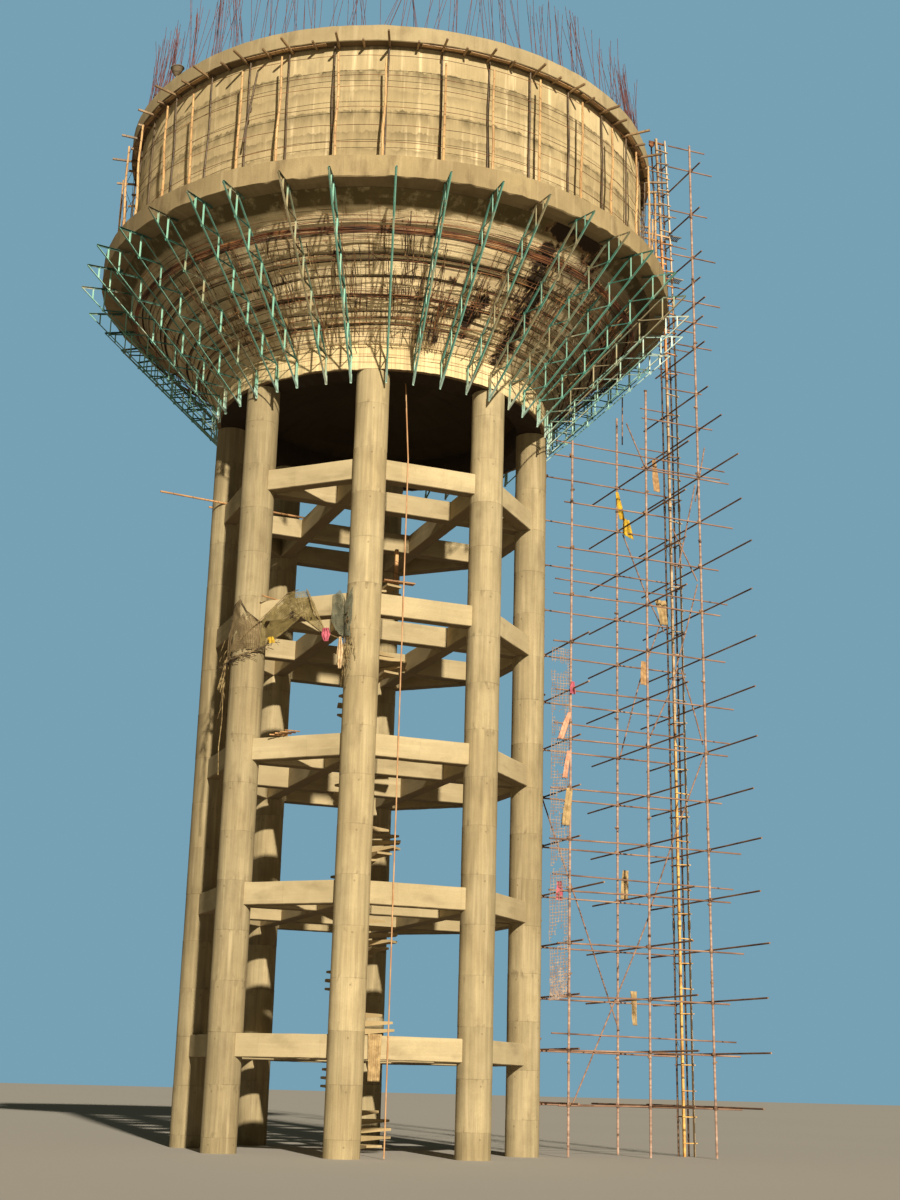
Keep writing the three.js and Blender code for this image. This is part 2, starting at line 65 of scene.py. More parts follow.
# Columns: eight round shafts of concrete, 0.86 m thick, cast in lifts of about 1.2 m in forms of
# narrow upright boards. The boards leave fine streaks; each lift ends in a slight lip, with a
# ring of tie holes below it.
COLUMN_CIRCLE = 4.2
COLUMN_RADIUS = 0.43
COLUMN_TOP = 19.169
COLUMN_LIFT = 1.19
COLUMN_SIDES = 44
BAY = 45.0
HALF_BAY = 22.5
NOISE_SEED = 4


def plan(angle, radius, height=0.0):
    """The point at a plan angle from the front (-Y) towards the right (+X)."""
    turn = math.radians(angle)
    return Vector((radius * math.sin(turn), -radius * math.cos(turn), height))


# The vector noise would start from the clock if it had no seed of its own.
noise.seed_set(NOISE_SEED)


def waver(points, size, depth, seed=0.0):
    """Moves points about by a smooth noise, as poured or worn edges do."""
    flat = points.reshape(-1, 3)
    shift = Vector((seed * 7.31, seed * 3.17, seed * 5.53))
    moved = [noise.noise_vector(Vector(p) / size + shift) for p in flat]
    return points + depth * np.array(moved).reshape(points.shape)


class Casting:
    """Collects the closed shells of one piece. Each corner has its place on the form's boards,
    in metres (across them, along them), and each face has a tone from 0 to 1."""

    def __init__(self):
        self.points = []
        self.faces = []
        self.boards = []
        self.tones = []

    def shell(self, grid, across, along, tones=0.5, ring=False):
        """Adds stations of corners. The corners close on themselves, and the stations close
        too in a ring; otherwise each end gets a cap."""
        grid = np.asarray(grid, float)
        stations, corners = grid.shape[:2]
        first = len(self.points)
        spans = stations if ring else stations - 1
        i, j = np.meshgrid(np.arange(spans), np.arange(corners), indexing="ij")
        i2, j2 = (i + 1) % stations, (j + 1) % corners
        loops = [(i, j), (i, j2), (i2, j2), (i2, j)]
        quads = np.stack([a * corners + b for a, b in loops], -1).reshape(-1, 4)
        across = np.broadcast_to(across, (spans + 1, corners + 1))
        along = np.broadcast_to(np.reshape(along, (-1, 1)), (spans + 1, corners + 1))
        ends = [(i, j), (i, j + 1), (i + 1, j + 1), (i + 1, j)]
        places = np.stack([np.stack([across[a, b], along[a, b]], -1) for a, b in ends], -2)
        places = places.reshape(-1, 4, 2)
        flat = grid.reshape(-1, 3)
        a, b, c, d = (flat[quads[:, k]] for k in range(4))
        volume = np.einsum("ij,ij->", a, np.cross(b, c)) + np.einsum("ij,ij->", a, np.cross(c, d))
        faces = quads.tolist()
        places = places.tolist()
        shades = np.broadcast_to(tones, (spans, corners)).reshape(-1).tolist()
        if not ring:
            for station, order in ((0, -1), (stations - 1, 1)):
                loop = [station * corners + k for k in range(corners)][::order]
                middle = flat[loop].mean(0)
                for k in range(corners):
                    p, q = flat[loop[k]], flat[loop[(k + 1) % corners]]
                    volume += float(np.dot(middle, np.cross(p, q)))
                faces.append(loop)
                places.append([[across[0, k % corners], flat[k][2]] for k in loop])
                shades.append(0.5)
        if volume < 0:
            faces = [face[::-1] for face in faces]
            places = [place[::-1] for place in places]
        self.points += flat.tolist()
        self.faces += [[first + k for k in face] for face in faces]
        self.boards += [corner for place in places for corner in place]
        self.tones += shades

    def piece(self, name, finish, crease=40.0):
        """Makes the object, smooth but for edges sharper than the crease angle."""
        mesh = bpy.data.meshes.new(name)
        mesh.from_pydata(self.points, [], self.faces)
        layer = mesh.uv_layers.new(name="boards")
        layer.data.foreach_set("uv", np.array(self.boards, float).reshape(-1))
        tone = mesh.attributes.new("tone", "FLOAT", "FACE")
        tone.data.foreach_set("value", self.tones)
        mesh.materials.append(finish)
        mesh.shade_smooth()
        mesh.set_sharp_from_angle(angle=math.radians(crease))
        return placed(name, mesh)


def add_node(tree, kind, inputs=(), **settings):
    """Adds a node to a tree. Each input is a constant or another node's result."""
    node = tree.nodes.new(kind)
    for option, value in settings.items():
        setattr(node, option, value)
    for socket, value in dict(inputs).items():
        if isinstance(value, bpy.types.NodeSocket):
            tree.links.new(value, node.inputs[socket])
        else:
            node.inputs[socket].default_value = value
    return node


class Finish:
    """A material drawn by nodes in the tower's own coordinates or along a piece's boards."""

    def __init__(self, name, roughness):
        self.material = bpy.data.materials.new(name)
        self.material.use_nodes = True
        self.tree = self.material.node_tree
        self.shader = self.tree.nodes["Principled BSDF"]
        self.shader.inputs["Roughness"].default_value = roughness
        self.place = self.add("ShaderNodeTexCoord").outputs["Object"]

    def add(self, kind, inputs=(), **settings):
        return add_node(self.tree, kind, inputs, **settings)

    def boards(self):
        """How far across the boards and along them a point lies, in metres."""
        places = self.add("ShaderNodeUVMap", uv_map="boards").outputs[0]
        return self.parts(places)[:2]

    def parts(self, vector):
        """The three numbers of a vector."""
        return self.add("ShaderNodeSeparateXYZ", {0: vector}).outputs

    def level(self):
        return self.parts(self.place)[2]

    def own(self, label):
        """A value that the mesh carries."""
        return self.add("ShaderNodeAttribute", attribute_name=label).outputs["Fac"]

    def point(self, x, y, z=0.0):
        return self.add("ShaderNodeCombineXYZ", {0: x, 1: y, 2: z}).outputs[0]

    def drawn(self, factors):
        """The place stretched or squeezed along each axis."""
        node = self.add("ShaderNodeVectorMath", {0: self.place, 1: factors}, operation="MULTIPLY")
        return node.outputs[0]

    def cloud(self, scale, vector=None, detail=4.0, roughness=0.55):
        vector = self.place if vector is None else vector
        inputs = {"Vector": vector, "Scale": scale, "Detail": detail, "Roughness": roughness}
        return self.add("ShaderNodeTexNoise", inputs).outputs[0]

    def streak(self, across, up, detail=3.0, seed=0.0):
        """Noise drawn out along the boards: so many spots a metre across them and along them."""
        u, v = self.boards()
        return self.cloud(1.0, self.point(self.times(u, across), self.times(v, up), seed), detail)

    def dice(self, value):
        """A fixed random number from 0 to 1 for each whole number."""
        whole = self.calc("FLOOR", value)
        node = self.add("ShaderNodeTexWhiteNoise", {"W": whole}, noise_dimensions="1D")
        return node.outputs[0]

    def calc(self, operation, first, second=0.0):
        node = self.add("ShaderNodeMath", {0: first, 1: second}, operation=operation)
        return node.outputs[0]

    def times(self, first, second):
        return self.calc("MULTIPLY", first, second)

    def plus(self, first, second):
        return self.calc("ADD", first, second)

    def less(self, first, second):
        return self.calc("SUBTRACT", first, second)

    def most(self, first, second):
        return self.calc("MAXIMUM", first, second)

    def span(self, value, low, high, start=0.0, end=1.0):
        """The value from low to high, mapped to start to end and held there."""
        inputs = {0: value, 1: low, 2: high, 3: start, 4: end}
        return self.add("ShaderNodeMapRange", inputs, clamp=True).outputs[0]

    def blend(self, share, first, second, way="MIX"):
        colours = [c if isinstance(c, bpy.types.NodeSocket) else (*c, 1.0) for c in (first, second)]
        inputs = {0: share, 6: colours[0], 7: colours[1]}
        return self.add("ShaderNodeMix", inputs, data_type="RGBA", blend_type=way).outputs[2]

    def stained(self, colour, value, low, high, stain, strength=1.0):
        """The colour, with the stain over it as the value goes from low to high."""
        return self.blend(self.span(value, low, high, 0.0, strength), colour, stain)

    def shaded(self, colour, shade):
        """The colour times a grey shade."""
        return self.blend(1.0, colour, self.point(shade, shade, shade), "MULTIPLY")

    def dress(self, colour, relief=None, depth=0.004, roughness=None):
        """Links the results to the shader and gives the material."""
        self.tree.links.new(colour, self.shader.inputs["Base Color"])
        if roughness is not None:
            self.tree.links.new(roughness, self.shader.inputs["Roughness"])
        if relief is not None:
            bump = self.add("ShaderNodeBump", {"Height": relief, "Distance": depth})
            self.tree.links.new(bump.outputs[0], self.shader.inputs["Normal"])
        return self.material


def concrete(name, pale, dull, dark, board=0.1, lift=1.2, streaks=0.08, tones=0.04, seams=0.2,
             joints=0.4, smears=0.0, holes=False, runs=0.3, grime=0.3, bands=(), depth=0.006,
             under=0.5, inner=0.0):
    """Board-marked concrete. Boards are that wide and lifts that high, and the other numbers say how
    strongly each mark shows. Each band is a dark stain that hangs down from a height: (height, depth,
    strength). Undersides are painted darker as shade, by the share under, and all within the inner radius
    is painted near black as shade."""
    f = Finish(name, 0.92)
    f.shader.inputs["Specular IOR Level"].default_value = 0.25
    u, v = f.boards()
    soft = f.streak(9.0, 0.45)
    fine = f.streak(36.0, 1.1, 2.0)
    wash = f.streak(5.0, 0.28)
    broad = f.cloud(0.42, detail=5.0)
    blotch = f.cloud(2.6, detail=6.0, roughness=0.62)
    grain = f.cloud(48.0, detail=2.0)
    plank = f.calc("FLOOR", f.plus(f.calc("DIVIDE", u, board), 0.5))
    pour = f.calc("FLOOR", f.calc("DIVIDE", v, lift))
    shade = f.span(f.dice(f.plus(plank, f.times(pour, 37.0))), 0, 1, 1 - tones, 1 + tones)
    shade = f.times(shade, f.span(f.dice(pour), 0, 1, 1 - 0.8 * tones, 1 + 0.8 * tones))
    shade = f.times(shade, f.span(soft, 0.3, 0.7, 1 - streaks, 1 + streaks))
    shade = f.times(shade, f.span(fine, 0.3, 0.7, 1 - 0.6 * streaks, 1 + 0.6 * streaks))
    shade = f.times(shade, f.span(grain, 0.3, 0.7, 0.94, 1.06))
    shade = f.times(shade, f.span(f.own("tone"), 0, 1, 0.6, 1.4))
    colour = f.stained(dull, broad, 0.36, 0.64, pale)
    colour = f.stained(colour, blotch, 0.5, 0.7, dull, 0.6)
    colour = f.shaded(colour, shade)
    lime = f.times(f.span(wash, 0.56, 0.7), runs)
    colour = f.blend(lime, colour, [min(1.0, 1.3 * c + 0.05) for c in pale])
    soot = f.span(f.streak(2.2, 0.7, 6.0), 0.53, 0.74, 0.0, grime)
    near_joint = f.span(f.calc("PINGPONG", v, lift / 2), 0.24, 0.02)
    smear = f.times(near_joint, f.span(f.streak(7.0, 2.4, 6.0), 0.54, 0.66, 0.0, smears))
    soot = f.most(soot, f.times(smear, f.span(f.dice(pour), 0.35, 0.6)))
    ragged = f.plus(v, f.times(f.less(f.streak(7.0, 3.0, 6.0), 0.5), 0.3))
    for height, deep, strength in bands:
        below = f.times(f.span(ragged, height - deep, height), f.span(ragged, height + 0.03, height))
        patchy = f.span(f.streak(3.0, 0.8), 0.36, 0.6, 0.15, strength)
        soot = f.most(soot, f.times(below, patchy))
    colour = f.blend(soot, colour, dark)
    seam = f.span(f.calc("PINGPONG", f.plus(u, board / 2), board / 2), 0.005, 0.001, 0.0, seams)
    joint = f.span(f.calc("PINGPONG", v, lift / 2), 0.014, 0.004, 0.0, joints)
    mark = f.most(seam, f.times(joint, f.span(blotch, 0.4, 0.58, 0.2, 1.0)))
    if holes:
        aside = f.calc("PINGPONG", u, 0.3376)
        above = f.calc("PINGPONG", f.plus(v, 0.16), lift / 2)
        squares = f.plus(f.times(aside, aside), f.times(above, above))
        mark = f.most(mark, f.span(squares, 0.0008, 0.0004, 0.0, 0.4))
    colour = f.blend(mark, colour, dark)
    # Painted shade: faces that look down are darkened towards the dark colour by the share under.
    facing_up = f.parts(f.add("ShaderNodeNewGeometry").outputs["Normal"])[2]
    colour = f.stained(colour, facing_up, -0.55, -0.8, dark, under)
    # Painted shade: all within the inner radius is painted near black.
    if inner:
        flat_place = {0: f.drawn((1.0, 1.0, 0.0))}
        away = f.add("ShaderNodeVectorMath", flat_place, operation="LENGTH").outputs["Value"]
        colour = f.stained(colour, away, inner, inner - 0.02, (0.02, 0.011, 0.004), 0.97)
    relief = f.plus(f.times(soft, 3 * streaks), f.times(grain, 0.3))
    relief = f.less(f.plus(relief, f.times(blotch, 0.9)), mark)
    return f.dress(colour, relief, depth)


def seat(piece, stands_for=None):
    """Fixes a piece to the tower. It stands for the CAD nodes whose names start so."""
    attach(piece, "root")
    if stands_for:
        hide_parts(*[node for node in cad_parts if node.startswith(stands_for)])
    return piece


cast_concrete = concrete(
    "cast_concrete", pale=(0.485, 0.385, 0.212), dull=(0.37, 0.285, 0.148), dark=(0.12, 0.085, 0.042),
    board=0.0675, lift=COLUMN_LIFT, streaks=0.13, tones=0.08, seams=0.04, joints=0.38, smears=0.55,
    holes=True, runs=0.3, grime=0.4,
)
BOARD_SHIFT = 3.1
# Each column's tone darkens it by its own share; the darkest shares, on the left and back columns, are
# painted shade.
COLUMN_SHADE_TONES = [0.36, 0.28, 0.30, 0.22, 0.22, 0.12, 0.15, 0.48]
shafts = Casting()
chance = random.Random(11)
for index in range(8):
    foot = plan(HALF_BAY + BAY * index, COLUMN_CIRCLE)
    first_lift = chance.uniform(0.3, 1.0)
    heights = [0.0]
    swells = [0.0]
    level = first_lift
    while level < COLUMN_TOP - 0.25:
        lip = chance.choice([0.0, 0.001, 0.002, 0.005])
        heights += [level - 0.5 * COLUMN_LIFT, level - 0.02, level - 0.004, level + 0.01]
        swells += [0.0, 0.0, lip, 0.0]
        level += COLUMN_LIFT
    heights = [h for h in heights if h >= 0.0] + [COLUMN_TOP]
    swells = swells[len(swells) - len(heights) + 1:] + [0.0]
    rings = []
    for height, swell in zip(heights, swells):
        lift = math.floor((height - first_lift) / COLUMN_LIFT)
        ring = []
        for side in range(COLUMN_SIDES):
            turn = 2 * math.pi * side / COLUMN_SIDES
            flat = 0.0016 * math.sin(side * 12.9)
            bulge = 0.0025 * math.sin(lift * 2.3 + index + turn)
            radius = COLUMN_RADIUS - 0.004 + swell + flat + bulge
            ring.append((foot.x + radius * math.cos(turn), foot.y + radius * math.sin(turn), height))
        rings.append(ring)
    across = np.linspace(0.0, 2 * math.pi * COLUMN_RADIUS, COLUMN_SIDES + 1) + BOARD_SHIFT * index
    shafts.shell(rings, across, np.array(heights) - first_lift, COLUMN_SHADE_TONES[index])
seat(shafts.piece("columns", cast_concrete), "column_")

# Braces: five levels of beams, 350 by 550 mm, that join each column to the next, and two beams
# each way across the inside. They are cast on loose boards, so their lower edges are ragged.
BRACE_LEVELS = [2.45 + 3.535 * level for level in range(5)]
BRACE_WIDTH = 0.35
BRACE_DEPTH = 0.55
BRACE_CHAMFER = 0.016
BRACE_LINE = COLUMN_CIRCLE * math.cos(math.radians(HALF_BAY))
BRACE_FACE = BRACE_LINE + BRACE_WIDTH / 2
CROSSING_LINE = COLUMN_CIRCLE * math.sin(math.radians(HALF_BAY))
CROSSING_DROP = 0.004
INTO_JOINT = 0.33
# Painted shade: the braces on the back side and the cross braces inside are given darker tones.
SHADED_TONE = 0.32
INSIDE_SHADE_TONE = 0.3


def lengths_round(outline, start=0.0):
    """How far round a closed outline each of its corners lies, and the first one again."""
    lengths = [start]
    for p, q in zip(outline, outline[1:] + outline[:1]):
        lengths.append(lengths[-1] + math.hypot(q[0] - p[0], q[1] - p[1]))
    return np.array(lengths)


def add_beam(casting, start, end, key, tone=0.5):
    """A cast beam between two points on its centre line, with uneven chamfered edges."""
    run = end - start
    ahead = run.normalized()
    aside = ahead.cross(Vector((0, 0, 1))).normalized()
    w = BRACE_WIDTH / 2 - 0.003
    d = BRACE_DEPTH / 2 - 0.003
    c = BRACE_CHAMFER
    section = [
        (-w + c, -d), (-w / 3, -d), (w / 3, -d), (w - c, -d), (w, -d + c), (w, -d / 3), (w, d / 3),
        (w, d - c), (w - c, d), (w / 3, d), (-w / 3, d), (-w + c, d), (-w, d - c), (-w, d / 3),
        (-w, -d / 3), (-w, -d + c),
    ]
    stations = max(6, round(run.length / 0.16))
    grid = np.zeros((stations + 1, len(section), 3))
    for s in range(stations + 1):
        for k, (out, up) in enumerate(section):
            grid[s, k] = start + run * (s / stations) + aside * out + Vector((0, 0, up))
    even = waver(grid, 0.7, 0.006, key)
    torn = waver(grid, 0.12, 0.012, key + 0.5)
    low = np.array([up < -0.8 * d for out, up in section])
    grid = np.where(low[None, :, None], (even + torn) / 2, even)
    places = np.linspace(0.0, run.length, stations + 1) + 0.37 * key
    casting.shell(grid, lengths_round(section, 0.21 * key), places, tone)


# Painted shade: the braces' undersides are painted dark.
beam_concrete = concrete(
    "beam_concrete", pale=(0.53, 0.425, 0.24), dull=(0.41, 0.32, 0.172), dark=(0.14, 0.095, 0.046),
    board=0.275, lift=1.63, streaks=0.035, tones=0.03, seams=0.06, joints=0.12, runs=0.2, grime=0.45,
    under=0.85,
)
sides = Casting()
crosses = Casting()
key = 0
for level in BRACE_LEVELS:
    for index in range(8):
        start = plan(HALF_BAY + BAY * index, COLUMN_CIRCLE, level)
        end = plan(HALF_BAY + BAY * (index + 1), COLUMN_CIRCLE, level)
        inset = (end - start).normalized() * INTO_JOINT
        key += 1
        add_beam(sides, start + inset, end - inset, key, SHADED_TONE if 1 < index < 6 else 0.5)
    reach = BRACE_LINE - INTO_JOINT
    low = level - CROSSING_DROP
    for aside in (-CROSSING_LINE, CROSSING_LINE):
        key += 2
        add_beam(crosses, Vector((aside, -reach, level)), Vector((aside, reach, level)), key, INSIDE_SHADE_TONE)
        add_beam(crosses, Vector((-reach, aside, low)), Vector((reach, aside, low)), key + 1, INSIDE_SHADE_TONE)
seat(sides.piece("side_braces", beam_concrete))
seat(crosses.piece("cross_braces", beam_concrete), "cross_brace_")

# Ring beam: the 0.68 m deep ring on the columns' heads, cast in upright boards 0.1 m wide, with
# a torn lower edge. It carries the cone and the bottom dome.
RING_STEPS = 288
RING_ANGLES = [360.0 * k / RING_STEPS for k in range(RING_STEPS)]


def turned(casting, outline, wave=0.005, torn=(), seed=0, start=0.0, tones=0.5):
    """A ring turned round the axis from a closed outline of (radius, height) corners. Corners
    named in torn have a ragged edge of that depth."""
    grid = np.array([[plan(angle, radius, height) for angle in RING_ANGLES] for radius, height in outline])
    outward = np.array([[plan(angle, 1.0) for angle in RING_ANGLES] for corner in outline])
    even = waver(grid, 0.9, 1.0, seed) - grid
    rough = waver(grid, 0.16, 1.0, seed + 0.5) - grid
    push = even[:, :, 0:1] * wave
    lift = np.zeros(push.shape)
    for corner, depth in dict(torn).items():
        push[corner] += rough[corner, :, 0:1] * depth * 0.6
        lift[corner] += rough[corner, :, 2:3] * depth + even[corner, :, 2:3] * depth
    grid = grid + outward * push + np.array([0.0, 0.0, 1.0]) * lift
    girth = max(radius for radius, height in outline) * 2 * math.pi
    across = np.linspace(0.0, girth, RING_STEPS + 1)
    casting.shell(grid, across, lengths_round(outline, start), tones, ring=True)


# Painted shade: the ring's underside, and all of it inside a radius of 4.5 m, is painted near black.
ring_concrete = concrete(
    "ring_concrete", pale=(0.82, 0.645, 0.35), dull=(0.63, 0.48, 0.24), dark=(0.15, 0.09, 0.045),
    board=0.105, lift=0.9, streaks=0.14, tones=0.07, seams=0.45, joints=0.2, runs=0.3, grime=0.4,
    under=0.97, inner=4.5,
)
ring_beam = Casting()
turned(ring_beam, [
    (4.575, 19.17), (4.597, 19.19), (4.597, 19.5), (4.59, 19.84), (4.575, 19.85),
    (3.815, 19.85), (3.803, 19.83), (3.803, 19.19), (3.82, 19.17),
], torn={0: 0.022, 1: 0.012, 8: 0.015}, seed=3, start=0.02)
seat(ring_beam.piece("ring_beam", ring_concrete), "ring_beam")

# Bottom dome: the shallow shell inside the ring beam, of raw brown-grey concrete where the board marks and
# wet patches of its centring still show. Its underside is painted near black as shade.
shaded_soffit_concrete = concrete(
    "shaded_soffit_concrete", pale=(0.44, 0.33, 0.17), dull=(0.32, 0.235, 0.115), dark=(0.018, 0.010, 0.005),
    board=1.6, lift=0.7, streaks=0.0, tones=0.12, seams=0.0, joints=0.2, runs=0.1, grime=0.5, under=0.93,
)
DOME_RISE = 1.2
DOME_RADIUS = 4.15
DOME_BASE = 19.8505
DOME_THICKNESS = 0.18
DOME_STEPS = 120
sphere = (DOME_RADIUS ** 2 + DOME_RISE ** 2) / (2 * DOME_RISE)
centre = DOME_BASE + DOME_RISE - sphere
dome = Casting()
profile = []
for radius, order in ((sphere - DOME_THICKNESS, 1), (sphere, -1)):
    spring = math.acos((DOME_BASE - centre) / radius)
    turns = [spring * k / 14 for k in range(15)][::order]
    profile += [(max(0.002, radius * math.sin(t)), centre + radius * math.cos(t)) for t in turns]
dome_angles = [360.0 * k / DOME_STEPS for k in range(DOME_STEPS)]
grid = [[plan(angle, radius, height) for angle in dome_angles] for radius, height in profile]
across = np.linspace(0.0, 22.0, DOME_STEPS + 1)
dome.shell(waver(np.array(grid), 0.6, 0.006), across, lengths_round(profile), ring=True)
seat(dome.piece("bottom_dome", shaded_soffit_concrete), "bottom_dome")

# Cone: the sloping shell that widens from the ring beam to the gallery. It was cast on loose
# planks that ran round it, so it is a stair of shallow plank bands with ledges, stained by rust
# and lime, under a smooth band that was cast last.
CONE_LOW = (4.6, 19.851)
CONE_HIGH = (7.5, 22.719)
CONE_THICKNESS = 0.427
CONE_GIRTH = 47.0
SMOOTH_BAND = 0.5
PLANK_LEDGE = 0.007
slope = Vector((CONE_LOW[0] - CONE_HIGH[0], CONE_LOW[1] - CONE_HIGH[1]))
slope_length = slope.length
slope = slope.normalized()
slope_out = Vector((-slope.y, slope.x))
chance = random.Random(5)
# Each plank: how far down the slope its lower edge lies, how pale it is, how far back it stands. The narrow
# recessed planks of paleness 0, and the darker planks below the rod bunch, are painted dark as shade.
planks = [
    (0.16, 0.5, 0.0), (0.34, 0.5, 0.0), (SMOOTH_BAND, 0.5, 0.0), (0.86, 0.8, 0.0), (1.08, 0.35, 0.05),
    (1.16, 0.0, 0.06), (1.42, 0.7, 0.0), (1.62, 0.6, 0.012), (1.69, 0.0, 0.05), (1.79, 0.75, 0.0),
    (1.88, 0.0, 0.06), (2.24, 0.62, 0.0), (2.3, 0.0, 0.045), (2.52, 0.7, 0.012), (2.72, 0.5, 0.0),
    (2.81, 0.0, 0.06), (2.96, 0.55, 0.0), (3.13, 0.6, 0.02), (3.19, 0.0, 0.05), (3.36, 0.65, 0.0),
    (3.5, 0.55, 0.02), (3.56, 0.0, 0.05), (3.72, 0.65, 0.0), (3.87, 0.55, 0.015), (slope_length, 0.7, 0.0),
]
edges = [0.0] + [plank[0] for plank in planks]


def ripple(x, y, z):
    """Smooth noise from -1 to 1 at a place."""
    return noise.noise(Vector((x, y, z)))


def edge_at(edge, angle):
    """How far down the slope a plank's edge lies there, as the planks weren't laid quite true."""
    turn = math.radians(angle)
    loose = min(1.0, edge / 0.6, (slope_length - edge) / 0.4)
    return edge + 0.07 * loose * ripple(3.0 * math.cos(turn), 3.0 * math.sin(turn), 1.7 * edge)


rows = []
row_tones = []
for top, (bottom, pale, stand) in zip(edges, planks):
    smooth_band = bottom <= SMOOTH_BAND
    bounds = [chance.uniform(0, 20)]
    while bounds[-1] < 360:
        bounds.append(bounds[-1] + chance.uniform(20, 60))
    if pale:
        board_tones = [min(1.0, max(0.15, pale + chance.uniform(-0.3, 0.3))) for bound in bounds + [360]]
    # Painted shade: the recessed strips take tones near 0, which the finish paints dark.
    else:
        board_tones = [chance.choice([0.06, 0.06, 0.06, 0.3]) for bound in bounds + [360]]
    steps = [chance.uniform(-0.006, 0.006) for tone in board_tones]
    tones = []
    offsets = []
    for k in range(RING_STEPS):
        angle = 360.0 * (k + 0.5) / RING_STEPS
        board = sum(1 for edge in bounds if edge <= angle)
        tones.append(board_tones[board])
        offsets.append(0.0 if smooth_band else max(0.0, stand + steps[board]))
    for edge, clear in ((top, PLANK_LEDGE), (bottom, -PLANK_LEDGE)):
        ring = []
        for angle, offset in zip(RING_ANGLES, offsets):
            s = min(edge_at(edge, angle) + clear, slope_length - 0.001)
            back = offset * min(1.0, 6 * (slope_length - s))
            radius = CONE_HIGH[0] + slope.x * s - slope_out.x * back
            height = CONE_HIGH[1] + slope.y * s - slope_out.y * back
            ring.append(plan(angle, radius, height))
        rows.append(ring)
    # Painted shade: the ledge faces between rows get tone 0, which the finish paints near black.
    row_tones += [tones, [0.3 if smooth_band else 0.0] * RING_STEPS]
inner = []
for s in (slope_length, 0.0):
    radius = CONE_HIGH[0] + slope.x * s - CONE_THICKNESS
    inner.append([plan(angle, radius, CONE_HIGH[1] + slope.y * s) for angle in RING_ANGLES])
places = [s for pair in zip(edges, edges[1:]) for s in pair]
places += [slope_length + 0.5, slope_length + 4.5, slope_length + 5.0]
tones = np.array(row_tones[:-1] + [[0.5] * RING_STEPS] * 3)
across = np.linspace(0.0, CONE_GIRTH, RING_STEPS + 1)
cone = Casting()
cone.shell(np.array(rows + inner), across, np.array(places), tones, ring=True)


